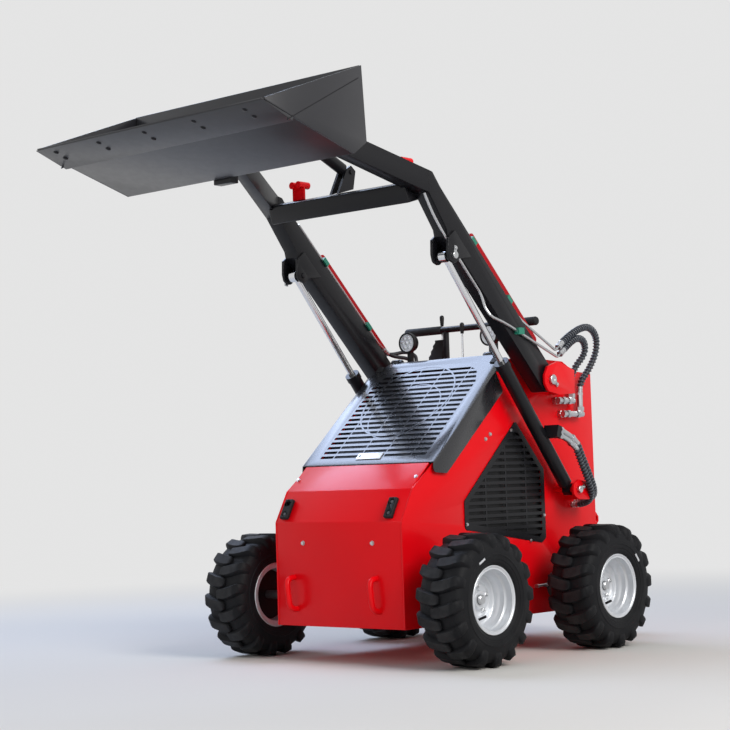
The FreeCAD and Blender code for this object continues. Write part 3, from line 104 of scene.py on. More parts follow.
@dataclass(frozen=True)
class Finish:
    """One surface finish, made as a procedural material on Object coordinates."""

    name: str
    colour: Colour
    second: Colour
    roughness: float
    metallic: float = 0.0
    specular: float = 0.5
    coat: float = 0.0
    coat_roughness: float = 0.12
    grain: Grain = Grain.ORANGE_PEEL
    grain_scale: float = 900.0
    grain_depth: float = 0.00004
    patch_scale: float = 5.0
    patch_share: float = 0.35
    dust: float = 0.0
    dust_colour: Colour = (0.30, 0.27, 0.23)
    dust_top: float = 0.45
    tread_colour: Colour | None = None

    def build(self) -> bpy.types.Material:
        """Make the material.

        Returns:
            The material, with its colour patches, dust, grain and bump.
        """
        material = bpy.data.materials.new(self.name)
        material.use_nodes = True
        tree = material.node_tree
        tree.nodes.clear()
        output = tree.nodes.new("ShaderNodeOutputMaterial")
        shader = tree.nodes.new("ShaderNodeBsdfPrincipled")
        tree.links.new(shader.outputs["BSDF"], output.inputs["Surface"])
        place = tree.nodes.new("ShaderNodeTexCoord").outputs["Object"]
        patches = self._noise(tree, place, self.patch_scale, 6.0)
        colour = self._mixed(tree, self._ramped(tree, patches, 0.35, 0.65, self.patch_share),
                             self.colour, self.second)
        if self.dust > 0:
            colour = self._dusted(tree, place, colour)
        if self.tread_colour:
            colour = self._scuffed(tree, place, colour)
        tree.links.new(colour, shader.inputs["Base Color"])
        rough = tree.nodes.new("ShaderNodeMapRange")
        rough.inputs["To Min"].default_value = self.roughness * 0.85
        rough.inputs["To Max"].default_value = min(1.0, self.roughness * 1.2)
        tree.links.new(self._noise(tree, place, self.patch_scale * 7, 4.0), rough.inputs["Value"])
        tree.links.new(rough.outputs["Result"], shader.inputs["Roughness"])
        shader.inputs["Metallic"].default_value = self.metallic
        shader.inputs["Specular IOR Level"].default_value = self.specular
        shader.inputs["Coat Weight"].default_value = self.coat
        shader.inputs["Coat Roughness"].default_value = self.coat_roughness
        bump = tree.nodes.new("ShaderNodeBump")
        bump.inputs["Distance"].default_value = self.grain_depth
        bump.inputs["Strength"].default_value = 1.0
        tree.links.new(self._grain(tree, place), bump.inputs["Height"])
        tree.links.new(bump.outputs["Normal"], shader.inputs["Normal"])
        return material

    def _noise(self, tree: bpy.types.NodeTree, place: bpy.types.NodeSocket, scale: float,
               detail: float) -> bpy.types.NodeSocket:
        """Return a noise of a scale on the object's own coordinates."""
        noise = tree.nodes.new("ShaderNodeTexNoise")
        noise.inputs["Scale"].default_value = scale
        noise.inputs["Detail"].default_value = detail
        tree.links.new(place, noise.inputs["Vector"])
        return noise.outputs["Fac"]

    def _ramped(self, tree: bpy.types.NodeTree, value: bpy.types.NodeSocket, low: float, high: float,
                share: float) -> bpy.types.NodeSocket:
        """Return a value stretched from low to high onto nought to share."""
        ramp = tree.nodes.new("ShaderNodeMapRange")
        ramp.inputs["From Min"].default_value = low
        ramp.inputs["From Max"].default_value = high
        ramp.inputs["To Max"].default_value = share
        tree.links.new(value, ramp.inputs["Value"])
        return ramp.outputs["Result"]

    def _mixed(self, tree: bpy.types.NodeTree, share: bpy.types.NodeSocket,
               first: Colour | bpy.types.NodeSocket, second: Colour) -> bpy.types.NodeSocket:
        """Mix a colour or a socket with a second colour by a share."""
        mix = tree.nodes.new("ShaderNodeMix")
        mix.data_type = "RGBA"
        tree.links.new(share, mix.inputs["Factor"])
        if isinstance(first, tuple):
            mix.inputs["A"].default_value = (*first, 1)
        else:
            tree.links.new(first, mix.inputs["A"])
        mix.inputs["B"].default_value = (*second, 1)
        return mix.outputs["Result"]

    def _dusted(self, tree: bpy.types.NodeTree, place: bpy.types.NodeSocket,
                colour: bpy.types.NodeSocket) -> bpy.types.NodeSocket:
        """Lay yard dust over the colour, thinning with height and broken by a noise."""
        parts = tree.nodes.new("ShaderNodeSeparateXYZ")
        tree.links.new(place, parts.inputs["Vector"])
        height = self._ramped(tree, parts.outputs["Z"], self.dust_top, 0.0, self.dust)
        share = tree.nodes.new("ShaderNodeMath")
        share.operation = "MULTIPLY"
        tree.links.new(height, share.inputs[0])
        tree.links.new(self._ramped(tree, self._noise(tree, place, 23.0, 8.0), 0.35, 0.7, 1.0), share.inputs[1])
        return self._mixed(tree, share.outputs["Value"], colour, self.dust_colour)

    def _scuffed(self, tree: bpy.types.NodeTree, place: bpy.types.NodeSocket,
                 colour: bpy.types.NodeSocket) -> bpy.types.NodeSocket:
        """Scuff the running faces of the lugs, found by their distance from the nearer axle."""
        parts = tree.nodes.new("ShaderNodeSeparateXYZ")
        tree.links.new(place, parts.inputs["Vector"])
        value = parts.outputs["Y"]
        for operation, amount in (("SUBTRACT", AXLE_MIDDLE), ("ABSOLUTE", 0.0), ("SUBTRACT", AXLE_REACH), ("POWER", 2.0)):
            value = self._sum(tree, operation, value, amount)
        rise = self._sum(tree, "POWER", self._sum(tree, "SUBTRACT", parts.outputs["Z"], AXLE_HEIGHT), 2.0)
        reach = self._sum(tree, "SQRT", self._sum(tree, "ADD", value, rise), 0.0)
        share = self._sum(tree, "MULTIPLY", self._ramped(tree, reach, 0.2285, 0.2300, 0.85),
                          self._ramped(tree, self._noise(tree, place, 30.0, 6.0), 0.25, 0.6, 1.0))
        return self._mixed(tree, share, colour, self.tread_colour)

    def _sum(self, tree: bpy.types.NodeTree, operation: str, first: bpy.types.NodeSocket,
             second: bpy.types.NodeSocket | float) -> bpy.types.NodeSocket:
        """Do one step of arithmetic on a socket with a number or another socket."""
        step = tree.nodes.new("ShaderNodeMath")
        step.operation = operation
        tree.links.new(first, step.inputs[0])
        if isinstance(second, float):
            step.inputs[1].default_value = second
        else:
            tree.links.new(second, step.inputs[1])
        return step.outputs["Value"]

    def _grain(self, tree: bpy.types.NodeTree, place: bpy.types.NodeSocket) -> bpy.types.NodeSocket:
        """Return the height of the fine grain."""
        if self.grain is Grain.SPANGLE:
            cells = tree.nodes.new("ShaderNodeTexVoronoi")
            cells.inputs["Scale"].default_value = self.grain_scale
            tree.links.new(place, cells.inputs["Vector"])
            return cells.outputs["Distance"]
        if self.grain is Grain.BRUSHED:
            stretch = tree.nodes.new("ShaderNodeMapping")
            stretch.inputs["Scale"].default_value = (1, 1, 25)
            tree.links.new(place, stretch.inputs["Vector"])
            return self._noise(tree, stretch.outputs["Vector"], self.grain_scale, 3.0)
        detail = 2.0 if self.grain is Grain.ORANGE_PEEL else 8.0
        return self._noise(tree, place, self.grain_scale, detail)


FINISHES: dict[Slot, Finish] = {
    Slot.RED: Finish("RedPowderCoat", (0.82, 0.0012, 0.0060), (0.74, 0.0010, 0.0045), 0.32, specular=0.14, coat=0.11,
                     dust=0.05, dust_colour=(0.45, 0.06, 0.05), dust_top=0.35),
    Slot.BLACK: Finish("CharcoalPowderCoat", (0.0062, 0.0062, 0.0082), (0.0084, 0.0084, 0.0108), 0.36, specular=0.19, coat=0.16,
                       coat_roughness=0.18),
    Slot.MACHINED: Finish("MachinedSteel", (0.56, 0.57, 0.58), (0.46, 0.47, 0.49), 0.30, metallic=1.0,
                          grain=Grain.BRUSHED, grain_scale=120.0, grain_depth=0.00002),
    Slot.CHROME: Finish("ChromeRod", (0.74, 0.75, 0.77), (0.68, 0.69, 0.71), 0.12, metallic=1.0,
                        grain=Grain.BRUSHED, grain_scale=90.0, grain_depth=0.000008),
    Slot.ZINC: Finish("ZincPaintedRim", (0.70, 0.72, 0.75), (0.60, 0.62, 0.65), 0.33, metallic=0.45, coat=0.15,
                      grain=Grain.SPANGLE, grain_scale=160.0, grain_depth=0.00003, dust=0.05, dust_top=0.4),
    Slot.TYRE: Finish("TyreRubber", (0.0052, 0.0055, 0.0070), (0.0090, 0.0092, 0.0106), 0.56, specular=0.16, grain=Grain.MOULDED,
                      grain_scale=260.0, grain_depth=0.00025, patch_scale=16.0, patch_share=0.8, dust=0.06,
                      dust_colour=(0.08, 0.076, 0.070), dust_top=0.45, tread_colour=(0.030, 0.030, 0.031)),
    Slot.SOFT: Finish("BlackRubber", (0.0110, 0.0110, 0.0125), (0.0160, 0.0160, 0.0175), 0.60, specular=0.25, grain=Grain.MOULDED,
                      grain_scale=420.0, grain_depth=0.00012),
    Slot.IRON: Finish("EngineIron", (0.070, 0.070, 0.074), (0.10, 0.095, 0.09), 0.55, metallic=0.3,
                      grain=Grain.MOULDED, grain_scale=200.0, grain_depth=0.0003),
    Slot.PLASTIC: Finish("BlackPlastic", (0.0090, 0.0090, 0.0100), (0.0120, 0.0120, 0.0130), 0.45, specular=0.25,
                         grain=Grain.MOULDED, grain_scale=700.0, grain_depth=0.00006),
    Slot.HOSE: Finish("HoseRubber", (0.016, 0.018, 0.022), (0.026, 0.028, 0.033), 0.5, grain=Grain.MOULDED,
                      grain_scale=380.0, grain_depth=0.00015),
    Slot.CLAMP: Finish("GreenClampPlastic", (0.012, 0.19, 0.12), (0.016, 0.23, 0.15), 0.42, grain=Grain.MOULDED,
                       grain_scale=500.0, grain_depth=0.00006),
    Slot.EDGE: Finish("WearSteel", (0.017, 0.017, 0.020), (0.022, 0.022, 0.025), 0.36, specular=0.4, coat=0.25,
                      coat_roughness=0.2, grain_scale=500.0),
}


HOOD_FINISH = Finish("HoodGloss", (0.0120, 0.0122, 0.0150), (0.0150, 0.0152, 0.0185), 0.27, specular=0.42, coat=0.50,
                     coat_roughness=0.12, grain_depth=0.00001)
BUCKET_FINISH = Finish("BucketGloss", (0.0150, 0.0150, 0.0185), (0.0185, 0.0185, 0.0225), 0.34, specular=0.33, coat=0.30,
                       coat_roughness=0.18, grain_depth=0.00001)
CHALK_FINISH = Finish("TyreChalk", (0.62, 0.63, 0.65), (0.50, 0.51, 0.53), 0.8, specular=0.2, grain=Grain.MOULDED)
# Painted shade: the lock bars are the same red paint, darkened for their side that faces away from the light.
LOCK_BAR_PAINTED_SHADE = Finish("LockBarRed", (0.40, 0.0010, 0.0060), (0.34, 0.0010, 0.0050), 0.40, specular=0.14, coat=0.10)
FINISH_AND_SHADE_OF_NODE: dict[str, Finish] = {
    # the lock bars take the darker red of painted shade
    "lock_bars": LOCK_BAR_PAINTED_SHADE,
    "hood_shell": HOOD_FINISH, "hood_grille": HOOD_FINISH, "bucket_shell": BUCKET_FINISH, "bucket_sides": BUCKET_FINISH,
}


class Paintshop:
    """Holds each finish's material and puts it on pieces and nodes."""

    def __init__(self) -> None:
        """Build every finish once."""
        self.materials = {slot: finish.build() for slot, finish in FINISHES.items()}
        made = {finish.name: finish.build() for finish in (HOOD_FINISH, BUCKET_FINISH, LOCK_BAR_PAINTED_SHADE)}
        self.special = {node: made[finish.name] for node, finish in FINISH_AND_SHADE_OF_NODE.items()}
        self.by_node = {row["node"]: Slot(row["material_slot"]) for row in frame["record"]["subparts"]}

    def coat_nodes(self) -> None:
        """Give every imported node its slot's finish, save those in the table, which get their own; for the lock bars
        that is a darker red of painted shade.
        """
        for node, slot in self.by_node.items():
            mesh = bpy.data.objects[node].data
            mesh.materials.clear()
            mesh.materials.append(self.special.get(node, self.materials[slot]))

    def coat(self, piece: bpy.types.Object, slot: Slot, body: str) -> bpy.types.Object:
        """Give a piece its slot's finish, where it has none yet, and its body.

        Args:
            piece: The finished piece.
            slot: The record's slot that it takes its finish from.
            body: The body that it moves with.

        Returns:
            The same piece.
        """
        if not piece.data.materials:
            piece.data.materials.append(self.materials[slot])
        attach(piece, body)
        LOG.info("%s on %s", piece.name, body)
        return piece


BODY_OF = {node: body for body, nodes in frame["record"]["behaviour"]["bodies"].items() for node in nodes}


@dataclass
class SoftenedPanels:
    """Copies of sheet and plate nodes with the small edge radius that bending and grinding leave."""

    shop: Paintshop
    radii: dict[str, float] = field(default_factory=lambda: {
        "side_plates": 0.0015, "nose_cover": 0.0025, "tail_plate": 0.002, "console_deck": 0.002,
        "hood_shell": 0.002, "lift_arms": 0.003, "goosenecks": 0.003, "crosstube": 0.005,
        "bucket_shell": 0.0015, "bucket_sides": 0.001, "bucket_cutting_edge": 0.0015,
        "rod_ears": 0.0012, "pivot_brackets": 0.0012, "ram_foot_brackets": 0.0012, "hitch_plate": 0.0012,
        "tie_down_lugs": 0.0015, "operator_platform": 0.003,
    })

    def build(self) -> None:
        """Make each softened panel and let it stand for its node."""
        for node, radius in self.radii.items():
            piece = self._softened(node, radius)
            if node in self.shop.special:
                piece.data.materials.append(self.shop.special[node])
            self.shop.coat(piece, self.shop.by_node[node], BODY_OF[node])
            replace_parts(piece, node)

    def _softened(self, node: str, radius: float) -> bpy.types.Object:
        """Merge a copy of the node's mesh and round its sharp edges.

        Args:
            node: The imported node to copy.
            radius: The edge radius.

        Returns:
            The piece, with its bevel applied.
        """
        mesh = bpy.data.objects[node].data.copy()
        mesh.name = node + "_softened"
        mesh.materials.clear()
        work = bmesh.new()
        work.from_mesh(mesh)
        bmesh.ops.remove_doubles(work, verts=work.verts, dist=0.00002)
        bmesh.ops.dissolve_limit(work, angle_limit=math.radians(0.6), verts=work.verts, edges=work.edges)
        work.to_mesh(mesh)
        work.free()
        piece = bpy.data.objects.new(node + "_softened", mesh)
        bpy.context.scene.collection.objects.link(piece)
        bevel = piece.modifiers.new("Edges", "BEVEL")
        bevel.width = radius
        bevel.segments = 2
        bevel.limit_method = "ANGLE"
        bevel.angle_limit = math.radians(28)
        bevel.harden_normals = False
        return baked(piece)


def baked(piece: bpy.types.Object, smooth_angle: float = 32.0) -> bpy.types.Object:
    """Turn a piece with modifiers into a plain mesh, smooth across gentle turns.

    Args:
        piece: An object at the origin with live modifiers.
        smooth_angle: Edges that turn more than this many degrees stay crisp.

    Returns:
        The same object, holding the evaluated mesh.
    """
    graph = bpy.context.evaluated_depsgraph_get()
    mesh = bpy.data.meshes.new_from_object(piece.evaluated_get(graph))
    piece.modifiers.clear()
    mesh.name = piece.name
    piece.data = mesh
    mesh.shade_smooth()
    mesh.set_sharp_from_angle(angle=math.radians(smooth_angle))
    return piece


def new_piece(name: str, work: bmesh.types.BMesh, smooth_angle: float = 32.0) -> bpy.types.Object:
    """Close a piece's mesh: doubles merged, faces outwards, crisp edges kept.

    Args:
        name: The piece's name.
        work: The mesh in the row frame, freed here.
        smooth_angle: Edges that turn more than this many degrees stay crisp.

    Returns:
        The linked object, at the origin.
    """
    bmesh.ops.remove_doubles(work, verts=work.verts, dist=0.00001)
    bmesh.ops.recalc_face_normals(work, faces=work.faces)
    mesh = bpy.data.meshes.new(name)
    work.to_mesh(mesh)
    work.free()
    mesh.shade_smooth()
    mesh.set_sharp_from_angle(angle=math.radians(smooth_angle))
    piece = bpy.data.objects.new(name, mesh)
    bpy.context.scene.collection.objects.link(piece)
    return piece


def add_turned(work: bmesh.types.BMesh, profile: list[tuple[float, float]], place: Matrix, steps: int) -> None:
    """Turn an (along, radius) outline round the X axis of a place.

    Args:
        work: The mesh to add to.
        profile: Points of the outline; a radius of nought closes an end, and a repeated first point closes a ring.
        place: Where the axis stands.
        steps: Faces round the axis.
    """
    rings = []
    for along, radius in profile:
        if radius == 0:
            rings.append([work.verts.new(place @ Vector((along, 0, 0)))] * steps)
            continue
        ring = []
        for step in range(steps):
            angle = 2 * math.pi * step / steps
            ring.append(work.verts.new(place @ Vector((along, radius * math.cos(angle), radius * math.sin(angle)))))
        rings.append(ring)
    for ring, after in zip(rings, rings[1:]):
        for step in range(steps):
            follow = (step + 1) % steps
            corners = [ring[step], ring[follow], after[follow], after[step]]
            if ring[0] is ring[1]:
                corners = corners[1:]
            elif after[0] is after[1]:
                corners = corners[:3]
            work.faces.new(corners)


def add_tube(work: bmesh.types.BMesh, path: list[Vector], radius: float, sides: int, capped: bool = True) -> None:
    """Run a round tube along a path without twisting it.

    Args:
        work: The mesh to add to.
        path: Points of the centreline.
        radius: The tube's radius.
        sides: Faces round the tube.
        capped: Whether its ends are closed.
    """
    across = None
    rings = []
    for index, point in enumerate(path):
        ahead = (path[min(index + 1, len(path) - 1)] - path[max(index - 1, 0)]).normalized()
        if across is None:
            across = ahead.orthogonal().normalized()
        across = (across - ahead * across.dot(ahead)).normalized()
        up = ahead.cross(across)
        rings.append([work.verts.new(point + (across * math.cos(2 * math.pi * step / sides)
                                              + up * math.sin(2 * math.pi * step / sides)) * radius)
                      for step in range(sides)])
    for ring, after in zip(rings, rings[1:]):
        for step in range(sides):
            follow = (step + 1) % sides
            work.faces.new([ring[step], ring[follow], after[follow], after[step]])
    if capped:
        work.faces.new(rings[0])
        work.faces.new(rings[-1])


def axis_place(point: Vector, along: Vector) -> Matrix:
    """Give a place at a point whose X axis looks along a direction."""
    return Matrix.Translation(point) @ along.to_track_quat("X", "Z").to_matrix().to_4x4()


def spot(across: float, along: float, height: float) -> Vector:
    """Give a point from millimetres across the machine, from the middle of the wheelbase and above the ground."""
    return Vector((across / 1000, along / 1000 + AXLE_MIDDLE, height / 1000))


class Repeater:
    """Geometry nodes that stand a copy of a small mesh at each of a list of places."""

    def __init__(self) -> None:
        """Build the tree once, with its pattern, its size and its finish as named inputs."""
        tree = bpy.data.node_groups.new("CopiesAtPlaces", "GeometryNodeTree")
        tree.interface.new_socket("Places", in_out="INPUT", socket_type="NodeSocketGeometry")
        self.pattern = tree.interface.new_socket("Pattern", in_out="INPUT", socket_type="NodeSocketObject").identifier
        self.size = tree.interface.new_socket("Size", in_out="INPUT", socket_type="NodeSocketFloat").identifier
        self.finish = tree.interface.new_socket("Finish", in_out="INPUT", socket_type="NodeSocketMaterial").identifier
        tree.interface.new_socket("Copies", in_out="OUTPUT", socket_type="NodeSocketGeometry")
        entry = tree.nodes.new("NodeGroupInput")
        leave = tree.nodes.new("NodeGroupOutput")
        info = tree.nodes.new("GeometryNodeObjectInfo")
        turn = tree.nodes.new("GeometryNodeInputNamedAttribute")
        turn.data_type = "FLOAT_VECTOR"
        turn.inputs["Name"].default_value = "turn"
        rotation = tree.nodes.new("FunctionNodeEulerToRotation")
        copies = tree.nodes.new("GeometryNodeInstanceOnPoints")
        real = tree.nodes.new("GeometryNodeRealizeInstances")
        painted = tree.nodes.new("GeometryNodeSetMaterial")
        for source, socket, target, name in (
                (entry, "Pattern", info, "Object"), (entry, "Places", copies, "Points"), (info, "Geometry", copies, "Instance"),
                (turn, "Attribute", rotation, 0), (rotation, 0, copies, "Rotation"), (entry, "Size", copies, "Scale"),
                (copies, "Instances", real, "Geometry"), (real, "Geometry", painted, "Geometry"),
                (entry, "Finish", painted, "Material"), (painted, "Geometry", leave, "Copies")):
            tree.links.new(source.outputs[socket], target.inputs[name])
        self.tree = tree

    def spread(self, name: str, pattern: bpy.types.Object, places: list[tuple[Vector, tuple[float, float, float]]],
               finish: bpy.types.Material, size: float = 1.0) -> bpy.types.Object:
        """Stand copies of a pattern at places.

        Args:
            name: The finished piece's name.
            pattern: The small mesh, removed afterwards.
            places: Points and the Euler turns of the copies there.
            finish: Their material.
            size: Their scale.

        Returns:
            One plain mesh of all copies.
        """
        mesh = bpy.data.meshes.new(name)
        mesh.from_pydata([tuple(point) for point, _ in places], [], [])
        turns = mesh.attributes.new("turn", "FLOAT_VECTOR", "POINT")
        for index, (_, turn) in enumerate(places):
            turns.data[index].vector = turn
        piece = bpy.data.objects.new(name, mesh)
        bpy.context.scene.collection.objects.link(piece)
        modifier = piece.modifiers.new("Copies", "NODES")
        modifier.node_group = self.tree
        modifier[self.pattern] = pattern
        modifier[self.size] = size
        modifier[self.finish] = finish
        baked(piece)
        bpy.data.objects.remove(pattern)
        if "turn" in piece.data.attributes:
            piece.data.attributes.remove(piece.data.attributes["turn"])
        return piece


@dataclass
class Wheels:
    """The four lugged tyres and their deep pressed rims, in metres about each axle."""

    shop: Paintshop
    repeater: Repeater = field(default_factory=Repeater)
    lugs_a_side: int = 16
    skew: float = -1.081
    lug_phase: float = 7.58
    carcass_steps: int = 96
    nuts: int = 5
    nut_circle: float = 0.047
    chalk: dict[str, tuple[float, float]] = field(default_factory=lambda: {"front": (28.5, 0.154), "rear": (-50.0, 0.154)})
    # along the axle and radius, outwards from the tread's middle
    tread: tuple[tuple[float, float], ...] = (
        (0.0, 0.2165), (0.045, 0.2155), (0.066, 0.2120), (0.078, 0.2050), (0.0860, 0.1930), (0.0900, 0.1780),
        (0.0908, 0.1600), (0.0922, 0.1585), (0.0922, 0.1545), (0.0908, 0.1530), (0.0893, 0.1400), (0.0875, 0.1385),
        (0.0875, 0.1330), (0.0845, 0.1265), (0.0805, 0.1210), (0.0785, 0.1165), (0.0765, 0.1115), (0.0700, 0.1090))
    # along the axle, radius of the top, radius and place of the root, half width
    lug: tuple[tuple[float, float, float, float, float], ...] = (
        (-0.0185, 0.2225, -0.0150, 0.2110, 0.0070), (-0.0172, 0.2265, -0.0145, 0.2110, 0.0125),
        (-0.0135, 0.2292, -0.0120, 0.2110, 0.0165), (-0.0070, 0.2302, -0.0060, 0.2110, 0.0192),
        (0.0060, 0.2303, 0.0060, 0.2110, 0.0210), (0.0220, 0.2303, 0.0220, 0.2110, 0.0218),
        (0.0420, 0.2303, 0.0420, 0.2105, 0.0220), (0.0620, 0.2300, 0.0600, 0.2085, 0.0216),
        (0.0740, 0.2280, 0.0710, 0.2050, 0.0208), (0.0830, 0.2225, 0.0780, 0.2000, 0.0196),
        (0.0890, 0.2130, 0.0830, 0.1930, 0.0180), (0.0922, 0.2010, 0.0865, 0.1860, 0.0158),
        (0.0930, 0.1900, 0.0885, 0.1800, 0.0130), (0.0918, 0.1815, 0.0895, 0.1760, 0.0095))
    # along the axle outwards and radius of the pressed rim's face, from its lip to the hub
    dish: tuple[tuple[float, float], ...] = (
        (0.0780, 0.1050), (0.0780, 0.1180), (0.0796, 0.1190), (0.0814, 0.1186), (0.0824, 0.1172), (0.0822, 0.1152),
        (0.0800, 0.1122), (0.0765, 0.1090), (0.0700, 0.1065), (0.0560, 0.1050), (0.0520, 0.1030), (0.0480, 0.0985),
        (0.0340, 0.0965), (0.0290, 0.0945), (0.0250, 0.0905), (0.0110, 0.0880), (0.0085, 0.0850), (0.0080, 0.0800),
        (0.0110, 0.0700), (0.0115, 0.0620), (0.0065, 0.0580), (0.0062, 0.0360), (0.0100, 0.0330), (0.0190, 0.0310),
        (0.0210, 0.0290), (0.0205, 0.0180))

    def build(self) -> None:
        """Build every wheel and let it stand for its tyre and rim."""
        self.chalk_material = CHALK_FINISH.build()
        for end in ("front", "rear"):
            for name, side in (("left", 1), ("right", -1)):
                middle = centre("tyre_%s_%s" % (end, name))
                place = Matrix.Translation(middle) @ Matrix.Scale(side, 4, (1, 0, 0))
                body = BODY_OF["tyre_%s_%s" % (end, name)]
                tyre = self.shop.coat(self._tyre("tyre_dressed_%s_%s" % (end, name), place), Slot.TYRE, body)
                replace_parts(tyre, "tyre_%s_%s" % (end, name))
                rim = self.shop.coat(self._rim("rim_dressed_%s_%s" % (end, name), place), Slot.ZINC, body)
                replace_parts(rim, "rim_%s_%s" % (end, name))
                self._small_parts("%s_%s" % (end, name), place, side, body)

    def _tyre(self, name: str, place: Matrix) -> bpy.types.Object:
        """Turn the carcass and mould the two staggered rings of lugs onto it."""
        work = bmesh.new()
        outer = [(along, radius) for along, radius in self.tread]
        loop = [(-along, radius) for along, radius in reversed(outer[1:])] + outer
        add_turned(work, loop + loop[:1], place, self.carcass_steps)
        for sign in (1, -1):
            for count in range(self.lugs_a_side):
                start = self.lug_phase + (count + (0.5 if sign < 0 else 0)) * 360 / self.lugs_a_side
                self._lug(work, place, sign, math.radians(start))
        return new_piece(name, work, 34.0)

    def _lug(self, work: bmesh.types.BMesh, place: Matrix, sign: int, start: float) -> None:
        """Loft one tongue-shaped lug from its nose past the middle over the shoulder."""
        rows = []
        for along, top, root_along, root, half in self.lug:
            lead = start + self.skew * along * (0.20 + 10.5 * along)
            row = []
            for share, lift in ((-1.18, 0.0), (-1.0, 0.78), (-0.80, 1.0), (0.80, 1.0), (1.0, 0.78), (1.18, 0.0)):
                radius = root + (top - root) * lift
                reach = root_along + (along - root_along) * lift
                angle = lead + share * half / radius
                row.append(work.verts.new(place @ Vector((sign * reach, -radius * math.sin(angle), radius * math.cos(angle)))))
            rows.append(row)
        for row, after in zip(rows, rows[1:]):
            for index in range(len(row) - 1):
                work.faces.new([row[index], row[index + 1], after[index + 1], after[index]])
            work.faces.new([row[-1], row[0], after[0], after[-1]])
        work.faces.new(rows[0])
        work.faces.new(rows[-1])

    def _rim(self, name: str, place: Matrix) -> bpy.types.Object:
        """Turn the pressed rim: the stepped dish outside and the plain barrel inside."""
        work = bmesh.new()
        inside = [(0.0200, 0.0172), (-0.0060, 0.0172), (-0.0060, 0.0900), (-0.0250, 0.0960), (-0.0760, 0.0990),
                  (-0.0825, 0.1130), (-0.0830, 0.1190), (-0.0800, 0.1220), (-0.0780, 0.1200), (-0.0780, 0.1050)]
        loop = list(self.dish) + inside
        add_turned(work, loop + loop[:1], place, self.carcass_steps)
        return new_piece(name, work, 40.0)

    def _small_parts(self, label: str, place: Matrix, side: int, body: str) -> None:
        """Add the dark shield inside the rim, the hub cap, the wheel nuts and the valve."""
        shield = bmesh.new()
        ring = [(-0.0068, 0.0180), (-0.0068, 0.0890), (-0.0320, 0.0935), (-0.0320, 0.0180)]
        add_turned(shield, ring + ring[:1], place, 48)
        self.shop.coat(new_piece("hub_shield_" + label, shield), Slot.PLASTIC, body)
        work = bmesh.new()
        add_turned(work, [(0.0190, 0.0), (0.0190, 0.0165), (0.0300, 0.0165), (0.0320, 0.0140), (0.0320, 0.0)], place, 24)
        self.shop.coat(new_piece("hub_end_" + label, work), Slot.MACHINED, body)
        pattern = hex_head("nut_pattern", 0.0085, 0.0080, 0.0035)
        places = []
        for count in range(self.nuts):
            angle = 2 * math.pi * (count + 0.25) / self.nuts
            seat = place @ Vector((0.0062, self.nut_circle * math.cos(angle), self.nut_circle * math.sin(angle)))
            places.append((seat, (0.0, side * math.pi / 2, 0.0)))
        nuts = self.repeater.spread("wheel_nuts_" + label, pattern, places, self.shop.materials[Slot.MACHINED])
        self.shop.coat(nuts, Slot.MACHINED, body)
        if side > 0:
            self._chalk(label, place, body)
        valve = bmesh.new()
        angle = math.radians(225)
        foot = Vector((0.0500, 0.0940 * math.sin(angle), 0.0940 * math.cos(angle)))
        lean = Vector((0.0150, -0.0100 * math.sin(angle), -0.0100 * math.cos(angle)))
        add_tube(valve, [place @ (foot - lean * 0.5), place @ foot, place @ (foot + lean), place @ (foot + lean * 2.2)], 0.0045, 14)
        self.shop.coat(new_piece("valve_" + label, valve), Slot.SOFT, body)

    def _chalk(self, label: str, place: Matrix, body: str) -> None:
        """Lay the fitter's chalk stroke on the sidewall."""
        angle, reach = self.chalk[label.split("_")[0]]
        turn = place @ Matrix.Rotation(math.radians(angle), 4, "X") @ Matrix.Translation((0.0922, 0.0, reach))
        work = bmesh.new()
        add_box(work, Vector((-0.0030, -0.0175, -0.0038)), Vector((0.0004, 0.0175, 0.0038)), turn)
        piece = new_piece("chalk_" + label, work)
        piece.data.materials.append(self.chalk_material)
        self.shop.coat(piece, Slot.TYRE, body)


def hex_head(name: str, half: float, depth: float, stud: float) -> bpy.types.Object:
    """Make a chamfered hexagon head with a stud's end, standing up +Z from the origin.

    Args:
        name: The pattern's name.
        half: Half its width across the corners.
        depth: How far it stands up.
        stud: The stud's radius, nought for none.

    Returns:
        The pattern object, linked so that the nodes can read it.
    """
    work = bmesh.new()
    up = Matrix.Rotation(-math.pi / 2, 4, "Y")
    add_turned(work, [(0.0, 0.0), (0.0, half * 1.25), (depth * 0.18, half * 1.25), (depth * 0.20, half)], up, 6)
    add_turned(work, [(depth * 0.20, half), (depth * 0.86, half), (depth, half * 0.84), (depth, 0.0)], up, 6)
    if stud:
        add_turned(work, [(depth * 0.9, 0.0), (depth * 0.9, stud), (depth * 1.5, stud), (depth * 1.6, stud * 0.7), (depth * 1.6, 0.0)],
                   up, 10)
    return new_piece(name, work)


@dataclass(frozen=True)
class HoseRun:
    """One hose: its node, radius, the two bodies it joins and its route in millimetres from arm or ram to frame."""

    node: str
    radius: float
    mover: str
    fixed: str
    route: tuple[Point, ...]
    guarded: bool = True
    sleeve: float = 0.0


